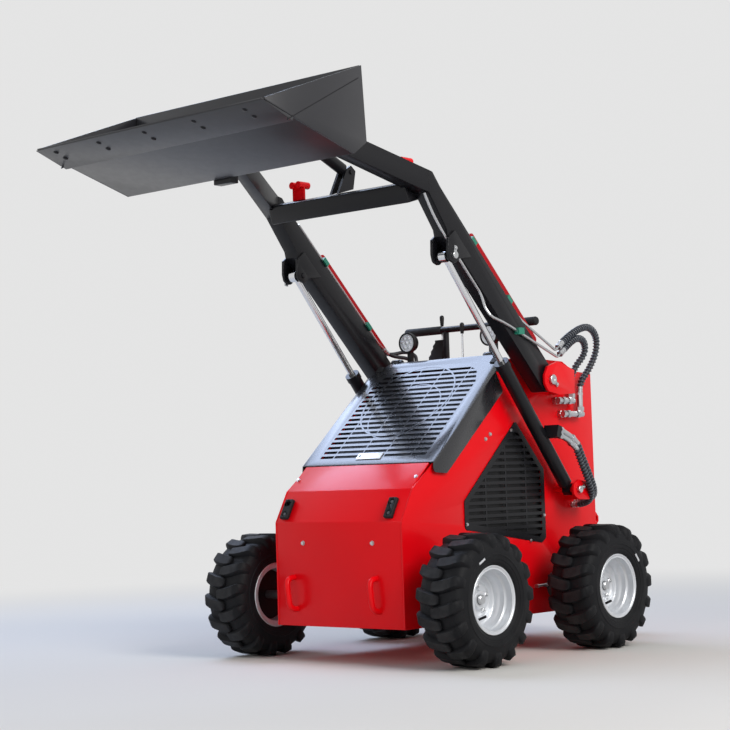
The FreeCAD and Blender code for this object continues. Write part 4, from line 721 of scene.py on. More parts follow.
@dataclass
class Hoses:
    """The hydraulic hoses, each a tube with its spiral guard and its crimped ends."""

    shop: Paintshop
    sides: int = 16
    guard_pitch: float = 0.0135
    guard_radius: float = 0.0033
    guard_finish: Finish = Finish("HoseGuard", (0.050, 0.058, 0.074), (0.064, 0.072, 0.088), 0.30, coat=0.3,
                                  grain=Grain.MOULDED, grain_scale=300.0, grain_depth=0.00008)
    ferrule_length: float = 0.032
    loops: tuple[HoseRun, ...] = (
        HoseRun("loop_hose_rear", 0.010, "lift_arm", "chassis",
                ((411, 312.4, 1132.3), (411, 351, 1161), (405, 461, 1210), (395, 548, 1223), (382, 615, 1190),
                 (368, 631, 1125), (354, 597, 1058), (336, 551, 1003), (336, 551, 959))),
        HoseRun("loop_hose_front", 0.010, "lift_arm", "chassis",
                ((411, 322.4, 1106.6), (411, 397, 1159.2), (402, 466, 1176), (390, 522, 1161), (374, 542, 1113),
                 (350, 505, 1065), (336, 494, 1015), (336, 494, 975))),
        HoseRun("inner_hose_front", 0.0075, "lift_arm", "chassis",
                ((-343.5, 173.4, 1171.8), (-343.5, 195.4, 1157.1), (-332, 224, 1144), (-300, 255, 1138),
                 (-280, 265, 1128), (-280, 265, 1094.5)), False),
        HoseRun("inner_hose_rear", 0.0075, "lift_arm", "chassis",
                ((-360, 173.4, 1171.8), (-360, 195.4, 1157.1), (-352, 236, 1154), (-318, 278, 1166),
                 (-284, 298, 1150), (-280, 300, 1130), (-280, 300, 1093.5)), False))
    front_ram: tuple[Point, ...] = (
        (440, 258.4, 798.9), (440, 353.6, 769.8), (440, 388, 703), (440, 436, 626), (430, 475, 578), (400, 500, 545),
        (350, 510, 532), (308, 510, 532))
    rear_ram: tuple[Point, ...] = (
        (440, 264.2, 818.0), (440, 364.3, 787.4), (440, 406, 713), (440, 453, 637), (430, 491, 590), (404, 520, 560),
        (352, 532, 546), (308, 532, 546))

    def build(self) -> None:
        runs = list(self.loops)
        self.guard_material = self.guard_finish.build()
        for name, side in (("left", 1), ("right", -1)):
            for label, route in (("front", self.front_ram), ("rear", self.rear_ram)):
                mirrored = tuple((side * across, along, height) for across, along, height in route)
                barrel = BODY_OF["lift_ram_%s_barrel" % name]
                runs.append(HoseRun("ram_hose_%s_%s" % (name, label), 0.009, barrel, "chassis", mirrored, sleeve=0.088))
        for run in runs:
            self._hose(run)
        self._fitting_nuts()

    def _fitting_nuts(self) -> None:
        """Put hexagon nuts on the two elbows that stand out of the tower."""
        work = bmesh.new()
        nut = [(0.0, 0.0), (0.0, 0.0158), (0.015, 0.0158), (0.016, 0.0142), (0.016, 0.0)]
        for end_y, end_z, level, near in ((551, 959, 884, 434), (494, 975, 935, 405)):
            for point, way in (((336, near + 26, level), (0, 1, 0)), ((336, end_y - 26, level), (0, 1, 0)),
                               ((336, end_y, level + 12), (0, 0, 1)), ((309, near + 14, level), (1, 0, 0))):
                add_turned(work, nut, axis_place(spot(*point), Vector(way)), 6)
        self.shop.coat(new_piece("fitting_nuts", work, 30.0), Slot.MACHINED, BODY_OF["hose_fittings"])

    def _line(self, run: HoseRun) -> list[Vector]:
        """Read the smooth line that a route's points pull a NURBS curve along."""
        curve = bpy.data.curves.new(run.node + "_line", "CURVE")
        curve.dimensions = "3D"
        curve.resolution_u = 12
        spline = curve.splines.new("NURBS")
        spline.points.add(len(run.route) - 1)
        for index, point in enumerate(run.route):
            spline.points[index].co = (*spot(*point), 1)
        spline.order_u = 3
        spline.use_endpoint_u = True
        line = bpy.data.objects.new(run.node + "_line", curve)
        bpy.context.scene.collection.objects.link(line)
        graph = bpy.context.evaluated_depsgraph_get()
        mesh = bpy.data.meshes.new_from_object(line.evaluated_get(graph))
        points = [vertex.co.copy() for vertex in mesh.vertices]
        bpy.data.objects.remove(line)
        bpy.data.meshes.remove(mesh)
        return points

    def _hose(self, run: HoseRun) -> None:
        """Build one hose with its guard and ends.

        Args:
            run: The hose.
        """
        path = self._line(run)
        lengths = [0.0]
        for before, after in zip(path, path[1:]):
            lengths.append(lengths[-1] + (after - before).length)
        total = lengths[-1]
        first = next(index for index, reached in enumerate(lengths) if reached >= run.sleeve)
        bend_start = next(index for index, reached in enumerate(lengths) if reached >= run.sleeve + self.ferrule_length)
        bend_stop = next(index for index, reached in enumerate(lengths) if reached >= total - self.ferrule_length)
        work = bmesh.new()
        add_tube(work, path, run.radius, self.sides)
        hose = new_piece(run.node + "_tube", work, 60.0)
        hose.data.materials.append(self.shop.materials[Slot.HOSE])
        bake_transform(hose)
        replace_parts(hose, run.node)
        pieces = [self._ferrule(run.node + "_ferrule_frame", run.fixed, path[-1], (path[-3] - path[-1]).normalized(), run.radius),
                  self._ferrule(run.node + "_ferrule_mover", run.mover, path[first], (path[first + 2] - path[first]).normalized(),
                                run.radius)]
        if run.sleeve:
            pieces.append(self._sleeve(run, path[:first + 1]))
        if run.guarded:
            pieces.append(self._guard(run, path, path[bend_start], path[bend_stop]))
        LOG.info("%s, %.0f mm long", hose.name, total * 1000)

    def _sleeve(self, run: HoseRun, path: list[Vector]) -> bpy.types.Object:
        """Bend the steel elbow that carries a ram's hose from its port block, with a nut at each end."""
        work = bmesh.new()
        add_tube(work, path, run.radius + 0.0016, self.sides)
        for seat, ahead in ((path[0], path[2] - path[0]), (path[-3], path[-1] - path[-3])):
            nut = [(-0.001, 0.0), (-0.001, run.radius * 1.55), (0.014, run.radius * 1.55), (0.015, run.radius * 1.4), (0.015, 0.0)]
            add_turned(work, nut, axis_place(seat, ahead.normalized()), 6)
        return self.shop.coat(new_piece(run.node + "_elbow", work, 30.0), Slot.MACHINED, run.mover)

    def _guard(self, run: HoseRun, path: list[Vector], bend_start: Vector, bend_stop: Vector) -> bpy.types.Object:
        """Wind the spiral guard round a hose between its crimped ends.

        Args:
            run: The hose.
            path: Its whole line.
            bend_start: Where it starts to leave its mover; not used.
            bend_stop: Where it lies still in the frame; not used.

        Returns:
            The guard, wound along the hose.
        """
        lengths = [0.0]
        for before, after in zip(path, path[1:]):
            lengths.append(lengths[-1] + (after - before).length)
        total = lengths[-1]
        start, stop = run.sleeve + self.ferrule_length + 0.004, total - self.ferrule_length - 0.004
        steps = int((stop - start) / self.guard_pitch * 14)
        frames = []
        across = None
        for index, point in enumerate(path):
            ahead = (path[min(index + 1, len(path) - 1)] - path[max(index - 1, 0)]).normalized()
            across = ahead.orthogonal().normalized() if across is None else (across - ahead * across.dot(ahead)).normalized()
            frames.append((point, ahead, across.copy()))
        winding = []
        segment = 0
        for step in range(steps + 1):
            distance = start + (stop - start) * step / steps
            while segment < len(path) - 2 and lengths[segment + 1] < distance:
                segment += 1
            share = (distance - lengths[segment]) / max(lengths[segment + 1] - lengths[segment], 1e-9)
            middle = frames[segment][0].lerp(frames[segment + 1][0], share)
            ahead = frames[segment][1].lerp(frames[segment + 1][1], share).normalized()
            side = frames[segment][2].lerp(frames[segment + 1][2], share)
            side = (side - ahead * side.dot(ahead)).normalized()
            up = ahead.cross(side)
            angle = 2 * math.pi * (distance - start) / self.guard_pitch
            winding.append(middle + (side * math.cos(angle) + up * math.sin(angle)) * (run.radius + self.guard_radius * 0.35))
        work = bmesh.new()
        add_tube(work, winding, self.guard_radius, 6)
        guard = new_piece(run.node + "_guard", work, 70.0)
        guard.data.materials.append(self.guard_material)
        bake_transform(guard)
        return guard

    def _ferrule(self, name: str, body: str, seat: Vector, along: Vector, radius: float) -> bpy.types.Object:
        """Crimp a steel end onto a hose where it meets its tube or block.

        Args:
            name: The piece's name.
            body: The body that the end is fixed to.
            seat: The hose's end.
            along: The way the hose leaves.
            radius: The hose's radius.

        Returns:
            The coated end.
        """
        work = bmesh.new()
        collar = radius + 0.0022
        length = self.ferrule_length
        profile = [(-0.002, 0.0), (-0.002, radius * 0.9), (0.003, radius * 0.9), (0.003, collar), (0.009, collar),
                   (0.010, collar - 0.0014), (0.012, collar - 0.0014), (0.013, collar), (0.019, collar),
                   (0.020, collar - 0.0014), (0.022, collar - 0.0014), (0.023, collar), (length, collar),
                   (length, 0.0)]
        add_turned(work, profile, axis_place(seat, along), 20)
        nut = [(-0.0005, 0.0), (-0.0005, radius * 1.32), (0.0085, radius * 1.32), (0.0095, radius * 1.15), (0.0095, 0.0)]
        add_turned(work, nut, axis_place(seat, along), 6)
        return self.shop.coat(new_piece(name, work, 30.0), Slot.MACHINED, body)


def add_box(work: bmesh.types.BMesh, low: Vector, high: Vector, place: Matrix | None = None) -> None:
    """Add a box between two corners, moved by a place where one is given."""
    size = high - low
    turn = Matrix.Translation((low + high) / 2) @ Matrix.Diagonal((*size, 1.0))
    bmesh.ops.create_cube(work, size=1.0, matrix=turn if place is None else place @ turn)


def rounded_path(points: list[Vector], radius: float, steps: int) -> list[Vector]:
    """Round the inner corners of a path.

    Args:
        points: The corners, ends included.
        radius: How far from a corner its arc starts.
        steps: Points on each arc after the first.

    Returns:
        The points of the rounded path.
    """
    path = [points[0]]
    for before, corner, after in zip(points, points[1:], points[2:]):
        start = corner + (before - corner).normalized() * radius
        stop = corner + (after - corner).normalized() * radius
        for step in range(steps + 1):
            share = step / steps
            path.append(start.lerp(corner, share).lerp(corner.lerp(stop, share), share))
    return path + [points[-1]]


def bevelled(name: str, work: bmesh.types.BMesh, width: float, segments: int = 3,
             cutter: bpy.types.Object | None = None) -> bpy.types.Object:
    """Close a piece, cut it where a cutter is given, and round its edges.

    Args:
        name: The piece's name.
        work: Its mesh, freed here.
        width: The edge radius.
        segments: Faces across a rounded edge.
        cutter: A closed mesh taken away first, removed here.

    Returns:
        The finished plain mesh.
    """
    piece = new_piece(name, work)
    if cutter is not None:
        cut = piece.modifiers.new("Cut", "BOOLEAN")
        cut.operation = "DIFFERENCE"
        cut.object = cutter
    edges = piece.modifiers.new("Edges", "BEVEL")
    edges.width = width
    edges.segments = segments
    edges.limit_method = "ANGLE"
    edges.angle_limit = math.radians(35)
    baked(piece)
    if cutter is not None:
        bpy.data.objects.remove(cutter)
    return piece


def facing(along: Vector) -> tuple[float, float, float]:
    """Give the Euler turn that lays +Z along a direction."""
    return tuple(along.to_track_quat("Z", "Y").to_euler())


@dataclass(frozen=True)
class BoltRow:
    """Equal screws on one body: places in millimetres, the way they face and their size in metres."""

    name: str
    owner: str
    slot: Slot
    way: Point
    half: float
    places: tuple[Point, ...]
    domed: bool = False
    mirrored: bool = False


@dataclass
class Fasteners:
    """The screws that hold covers, plates and the bucket's edge, stood out by geometry nodes."""

    shop: Paintshop
    repeater: Repeater = field(default_factory=Repeater)
    rows: tuple[BoltRow, ...] = (
        BoltRow("nose_bolts", "nose_cover", Slot.MACHINED, (0, -1, 0), 0.0075, ((168, -510, 430), (-168, -510, 430))),
        BoltRow("slope_bolts", "nose_cover", Slot.MACHINED, (0, -0.66, 0.75), 0.0065, ((287, -400, 658.5), (-287, -400, 658.5))),
        BoltRow("side_plate_bolts", "side_plates", Slot.MACHINED, (1, 0, 0), 0.0065, ((308, -23, 789), (308, 5, 807)),
                mirrored=True),
        BoltRow("grille_bolts", "side_grilles", Slot.MACHINED, (1, 0, 0), 0.0058,
                ((311, 132, 822), (311, 321, 498), (311, 232, 405), (311, 9, 405), (311, -152, 480)), mirrored=True),
        BoltRow("plow_bolts", "bucket_cutting_edge", Slot.BLACK, (0, -0.36, -0.93), 0.0085,
                tuple((x, y, z) for x in (-482, -255, -25, 213, 446) for y, z in ((-1360, 1813.6), (-1319, 1797.8))), domed=True),
        BoltRow("tail_bolts", "tail_plate", Slot.MACHINED, (0, 1, 0), 0.0070,
                ((270, 672, 900), (-270, 672, 900), (270, 672, 620), (-270, 672, 620), (270, 672, 340), (-270, 672, 340))),
    )

    def build(self) -> None:
        """Stand out every row."""
        for row in self.rows:
            places = [(spot(*point), facing(Vector(row.way))) for point in row.places]
            if row.mirrored:
                other = Vector((-row.way[0], row.way[1], row.way[2]))
                places += [(spot(-point[0], point[1], point[2]), facing(other)) for point in row.places]
            pattern = self._dome(row.half) if row.domed else hex_head(row.name + "_pattern", row.half, row.half * 0.9, 0.0)
            piece = self.repeater.spread(row.name, pattern, places, self.shop.materials[row.slot])
            self.shop.coat(piece, row.slot, BODY_OF[row.owner])

    def _dome(self, radius: float) -> bpy.types.Object:
        """Make a round domed bolt head with a ground rim."""
        work = bmesh.new()
        up = Matrix.Rotation(-math.pi / 2, 4, "Y")
        profile = [(-0.001, 0.0), (-0.001, radius * 1.15), (0.0008, radius * 1.15), (0.0008, radius), (0.0026, radius * 0.85),
                   (0.0040, radius * 0.5), (0.0044, 0.0)]
        add_turned(work, profile, up, 18)
        return new_piece("dome_pattern", work, 50.0)


@dataclass(frozen=True)
class PinHead:
    """One joint pin's visible end: its owner node, its end in millimetres, its radius and its keeper's turn."""

    name: str
    owner: str
    end: Point
    radius: float
    keeper: float


@dataclass
class PinHeads:
    """Zinc pin ends with their keeper plates, on both sides of the machine."""

    shop: Paintshop
    heads: tuple[PinHead, ...] = (
        PinHead("arm_pivot", "pivot_brackets", (426, 254, 1008), 0.016, -35.0),
        PinHead("ram_foot", "ram_foot_brackets", (426, 404, 592), 0.011, 20.0),
        PinHead("rod_pin", "rod_ears", (418, -300, 1440), 0.011, 80.0),
        PinHead("hitch_pin", "hitch_plate", (277, -790, 1840), 0.014, 60.0),
    )

    def build(self) -> None:
        """Build every pin end as one piece a joint."""
        for head in self.heads:
            work = bmesh.new()
            for side in (1, -1):
                across, along, height = head.end
                place = axis_place(spot(side * across, along, height), Vector((side, 0, 0)))
                cap = head.radius + 0.0025
                profile = [(-0.0055, 0.0), (-0.0055, cap), (0.0030, cap), (0.0045, cap - 0.0018), (0.0045, head.radius * 0.35),
                           (0.0030, head.radius * 0.25), (0.0030, 0.0)]
                add_turned(work, profile, place, 28)
                turn = place @ Matrix.Rotation(side * math.radians(head.keeper), 4, "X")
                reach = head.radius * 1.1 + 0.022
                add_box(work, Vector((-0.0060, 0.0, -0.0075)), Vector((-0.0010, reach, 0.0075)), turn)
                screw = turn @ Matrix.Translation((-0.0015, reach - 0.009, 0.0))
                add_turned(work, [(0.0, 0.0), (0.0, 0.0062), (0.0045, 0.0062), (0.0055, 0.0050), (0.0055, 0.0)], screw, 6)
            self.shop.coat(new_piece(head.name + "_ends", work), Slot.MACHINED, BODY_OF[head.owner])


@dataclass
class NoseParts:
    """Grab handles, rubber bumpers and the blank plate on the hood's foot."""

    shop: Paintshop
    handle_radius: float = 0.0105
    handle_places: tuple[float, float] = (188, -214)
    bumper_places: tuple[float, float] = (244, -262)
    bumper_along: tuple[float, float] = (-485.0, 549.2)
    bumper_depth: float = 0.016
    slope_lean: float = 60.47
    hood_lean: float = 41.4

    def build(self) -> None:
        """Build the pieces on the nose and the hood's foot."""
        self._handles()
        self._bumpers()
        self._blank_plate()

    def _handles(self) -> None:
        """Bend the two red grab handles."""
        work = bmesh.new()
        for across in self.handle_places:
            corners = [spot(across - 7, -507, 305), spot(across - 7, -549, 305), spot(across + 7, -549, 191),
                       spot(across + 7, -507, 191)]
            add_tube(work, rounded_path(corners, 0.034, 9), self.handle_radius, 20)
        handles = self.shop.coat(new_piece("grab_handles_bent", work, 50.0), Slot.RED, BODY_OF["grab_handles"])
        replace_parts(handles, "grab_handles")

    def _bumpers(self) -> None:
        """Mould the two bumpers with their sunk screws."""
        pads = bmesh.new()
        holes = bmesh.new()
        heads = bmesh.new()
        for across in self.bumper_places:
            place = Matrix.Translation(spot(across, *self.bumper_along)) @ Matrix.Rotation(math.radians(self.slope_lean), 4, "X")
            add_box(pads, Vector((-0.019, -0.040, -0.001)), Vector((0.019, 0.040, self.bumper_depth)), place)
            for reach in (0.022, -0.022):
                seat = place @ Matrix.Translation((0, reach, 0.006)) @ Matrix.Rotation(-math.pi / 2, 4, "Y")
                add_turned(holes, [(0.0, 0.0), (0.0, 0.0098), (0.030, 0.0098), (0.030, 0.0)], seat, 24)
                add_turned(heads, [(-0.004, 0.0), (-0.004, 0.0088), (0.0022, 0.0088), (0.0022, 0.0068), (0.0065, 0.0068),
                                   (0.0075, 0.0056), (0.0075, 0.0)], seat, 12)
        pieces = bevelled("bumpers", pads, 0.005, 3, new_piece("bumper_holes", holes))
        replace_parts(self.shop.coat(pieces, Slot.SOFT, BODY_OF["stop_pads"]), "stop_pads")
        self.shop.coat(new_piece("bumper_screws", heads), Slot.IRON, BODY_OF["stop_pads"])

    def _blank_plate(self) -> None:
        """Rivet the blank plate to the hood's foot, with its small dark keyhole."""
        place = Matrix.Translation(spot(-10, -309, 738.0)) @ Matrix.Rotation(math.radians(self.hood_lean), 4, "X")
        plate = bmesh.new()
        add_box(plate, Vector((-0.060, -0.0165, 0.0004)), Vector((0.060, 0.0165, 0.0034)), place)
        self.shop.coat(bevelled("blank_plate", plate, 0.0008), Slot.ZINC, BODY_OF["hood_shell"])
        inner = bmesh.new()
        add_box(inner, Vector((-0.050, -0.0055, 0.0030)), Vector((-0.042, 0.0055, 0.0037)), place)
        self.shop.coat(bevelled("blank_plate_keyhole", inner, 0.0002), Slot.PLASTIC, BODY_OF["hood_shell"])


@dataclass
class Console:
    """Work lamps, handlebar with foam grips, and the two control levers."""

    shop: Paintshop
    lamp_sides: int = 40
    lamp_swell: float = 1.14
    boot_folds: int = 5

    def build(self) -> None:
        """Build everything that stands on the console deck."""
        self._lamps()
        self._handlebar()
        self._levers()

    def _lamps(self) -> None:
        """Turn the lamp bodies, their lenses and their feet."""
        bodies = bmesh.new()
        lenses = bmesh.new()
        for side in (1, -1):
            front = (Matrix.Translation(spot(side * 204, 150, 1188)) @ Matrix.Rotation(-math.pi / 2, 4, "Z")
                     @ Matrix.Diagonal((1.0, self.lamp_swell, self.lamp_swell, 1.0)))
            shell = [(-0.0060, 0.0), (-0.0060, 0.0300), (-0.0002, 0.0315), (-0.0002, 0.0345), (-0.0015, 0.0360), (-0.0140, 0.0360)]
            for fold in range(4):
                shell += [(-0.0145 - 0.0055 * fold, 0.0330 - 0.002 * fold), (-0.0170 - 0.0055 * fold, 0.0330 - 0.002 * fold),
                          (-0.0175 - 0.0055 * fold, 0.0350 - 0.002 * fold), (-0.0195 - 0.0055 * fold, 0.0350 - 0.002 * fold)]
            shell += [(-0.0385, 0.0260), (-0.0400, 0.0)]
            add_turned(bodies, shell, front, self.lamp_sides)
            add_box(bodies, spot(side * 204 - 10, 166, 1092), spot(side * 204 + 10, 182, 1158))
            add_box(bodies, spot(side * 204 - 24, 154, 1091.5), spot(side * 204 + 24, 190, 1096))
            add_turned(lenses, [(-0.0055, 0.0), (-0.0055, 0.0298), (-0.0030, 0.0298), (-0.0030, 0.0)], front, self.lamp_sides)
            for count in range(7):
                angle = 2 * math.pi * count / 6
                reach = 0.0 if count == 6 else 0.0175
                bowl = front @ Matrix.Translation((-0.0031, reach * math.cos(angle), reach * math.sin(angle)))
                add_turned(lenses, [(-0.001, 0.0), (-0.001, 0.0075), (0.0004, 0.0075), (0.0022, 0.0052), (0.0030, 0.0)], bowl, 16)
        lamps = self.shop.coat(new_piece("lamp_bodies", bodies), Slot.PLASTIC, BODY_OF["work_lamps"])
        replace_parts(lamps, "work_lamps")
        self.shop.coat(new_piece("lamp_faces", lenses, 40.0), Slot.ZINC, BODY_OF["work_lamps"])

    def _handlebar(self) -> None:
        """Build the bar and its posts, with the foam grips over its ends."""
        bar = bmesh.new()
        add_turned(bar, [(-0.323, 0.0), (-0.323, 0.0125), (0.323, 0.0125), (0.323, 0.0)],
                   Matrix.Translation(spot(0, 300, 1240)), 24)
        for side in (1, -1):
            add_box(bar, spot(side * 122 - 9, 291, 1092), spot(side * 122 + 9, 309, 1246))
            add_box(bar, spot(side * 122 - 22, 280, 1091.5), spot(side * 122 + 22, 320, 1096.5))
        rail = self.shop.coat(bevelled("handlebar", bar, 0.0015, 2), Slot.BLACK, BODY_OF["hand_rail"])
        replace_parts(rail, "hand_rail")
        grips = bmesh.new()
        for side in (1, -1):
            end = 0.328
            profile = [(0.142, 0.0), (0.142, 0.0130), (0.146, 0.0165), (end - 0.007, 0.0170), (end - 0.002, 0.0145), (end, 0.0095), (end, 0.0)]
            add_turned(grips, profile, axis_place(spot(0, 300, 1240), Vector((side, 0, 0))), 24)
        self.shop.coat(new_piece("foam_grips", grips, 50.0), Slot.SOFT, BODY_OF["hand_rail"])

    def _levers(self) -> None:
        """Build the bellows boot, the two bright stems and their knobs."""
        boot = bmesh.new()
        rings = []
        for fold in range(self.boot_folds * 2 + 1):
            share = fold / (self.boot_folds * 2)
            narrow = 1.0 - 0.42 * share - (0.09 if fold % 2 else 0.0)
            height = 1091 + share * 112
            ring = []
            for across, along in ((-1, -1), (0, -1.06), (1, -1), (1.04, 0), (1, 1), (0, 1.06), (-1, 1), (-1.04, 0)):
                ring.append(boot.verts.new(spot(-181.5 + 16 * share + across * 43.5 * narrow, 308 + 18 * share + along * 25 * narrow, height)))
            rings.append(ring)
        for ring, after in zip(rings, rings[1:]):
            for index in range(8):
                follow = (index + 1) % 8
                boot.faces.new([ring[index], ring[follow], after[follow], after[index]])
        boot.faces.new(rings[0])
        boot.faces.new(rings[-1])
        knobs = bmesh.new()
        stems = bmesh.new()
        for across, along, foot, top in ((-165, 330, 1195, 1303), (0, 250, 1092, 1258)):
            add_tube(stems, [spot(across, along, foot), spot(across, along, top - 40)], 0.004, 16)
            up = axis_place(spot(across, along, top - 45), Vector((0, 0, 1)))
            profile = [(0.0, 0.0), (0.0, 0.0055), (0.004, 0.0068), (0.030, 0.0090), (0.038, 0.0088), (0.043, 0.0062), (0.045, 0.0)]
            add_turned(knobs, profile, up, 20)
        add_turned(knobs, [(0.0, 0.0), (0.0, 0.018), (0.006, 0.016), (0.014, 0.008), (0.016, 0.0)],
                   axis_place(spot(0, 250, 1092.5), Vector((0, 0, 1))), 20)
        body = BODY_OF["control_levers"]
        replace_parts(self.shop.coat(bevelled("lever_boot", boot, 0.002, 2), Slot.SOFT, body), "control_levers")
        self.shop.coat(new_piece("lever_stems", stems), Slot.CHROME, body)
        self.shop.coat(new_piece("lever_knobs", knobs, 50.0), Slot.PLASTIC, body)


@dataclass
class SmallParts:
    """The bucket's heel block and side ribs, the hood's corner pads and the marker rod."""

    shop: Paintshop

    def build(self) -> None:
        """Build the small parts that belong to no larger group."""
        heel = bmesh.new()
        add_box(heel, spot(-112, -968, 1690), spot(-26, -930, 1727))
        self.shop.coat(bevelled("heel_block", heel, 0.003), Slot.BLACK, BODY_OF["bucket_shell"])
        seams = bmesh.new()
        for side in (1, -1):
            add_tube(seams, [spot(side * 552.5, -1281, 1778), spot(side * 552.5, -945, 1957)], 0.0026, 10)
        self.shop.coat(new_piece("bucket_side_seams", seams, 60.0), Slot.BLACK, BODY_OF["bucket_sides"])
        corners = bmesh.new()
        for side in (1, -1):
            place = Matrix.Translation(spot(side * 284, 82, 1082.6)) @ Matrix.Rotation(math.radians(41.4), 4, "X")
            add_box(corners, Vector((-0.016, -0.014, -0.001)), Vector((0.016, 0.014, 0.005)), place)
        self.shop.coat(bevelled("hood_corner_pads", corners, 0.002), Slot.SOFT, BODY_OF["hood_shell"])
        self._hood_rib()
        self._painted_shade_sheets()
        rod = bmesh.new()
        place = axis_place(spot(317, 250, 233), Vector((0, 1, 0.04)))
        add_turned(rod, [(0.0, 0.0), (0.0, 0.007), (0.010, 0.007), (0.010, 0.0052), (0.058, 0.0052), (0.058, 0.0075),
                         (0.068, 0.0075), (0.068, 0.0)], place, 18)
        for along in (254, 312):
            add_box(rod, spot(306, along - 4, 226), spot(318, along + 4, 240))
        self.shop.coat(new_piece("drain_rod", rod), Slot.MACHINED, BODY_OF["side_plates"])

    def _hood_rib(self) -> None:
        """Lay the round rib over the hood's slots, and hang a dark sheet under them as painted shade."""
        foot = spot(-20, -343, 708)
        slope = Vector((0.0, 0.7501, 0.6613))
        out = Vector((0.0, -0.6613, 0.7501))
        work = bmesh.new()
        ring = [(-0.004, 0.1965), (0.0004, 0.1965), (0.0004, 0.2025), (-0.004, 0.2025)]
        add_turned(work, ring + ring[:1], axis_place(foot + slope * 0.362, out), 96)
        rib = new_piece("hood_round_rib", work)
        rib.data.materials.append(self.shop.special["hood_grille"])
        self.shop.coat(rib, Slot.BLACK, BODY_OF["hood_shell"])
        # The dark sheet under the slots is painted shade for the inside of the hood.
        below = Matrix.Translation(foot - out * 0.030) @ Matrix.Rotation(math.radians(41.4), 4, "X")
        painted_shade_sheet = bmesh.new()
        add_box(painted_shade_sheet, Vector((-0.262, 0.030, -0.0015)), Vector((0.302, 0.560, 0.0015)), below)
        self.shop.coat(new_piece("hood_baffle", painted_shade_sheet), Slot.PLASTIC, BODY_OF["hood_shell"])

    def _painted_shade_sheets(self) -> None:
        """Hang dark sheets inside the machine behind its side windows, as painted shade for the inside."""
        work = bmesh.new()
        # These dark sheets are painted shade: they stand for the shade inside the machine behind the windows.
        window = ((-172, 385), (-172, 570), (160, 872), (342, 678), (342, 401), (308, 385))
        for side in (1, -1):
            inner = [work.verts.new(spot(side * 296, along, height)) for along, height in window]
            outer = [work.verts.new(spot(side * 298.5, along, height)) for along, height in window]
            work.faces.new(inner)
            work.faces.new(outer)
            for index in range(len(window)):
                follow = (index + 1) % len(window)
                work.faces.new([inner[index], inner[follow], outer[follow], outer[index]])
        self.shop.coat(new_piece("window_screens", work), Slot.PLASTIC, BODY_OF["side_plates"])


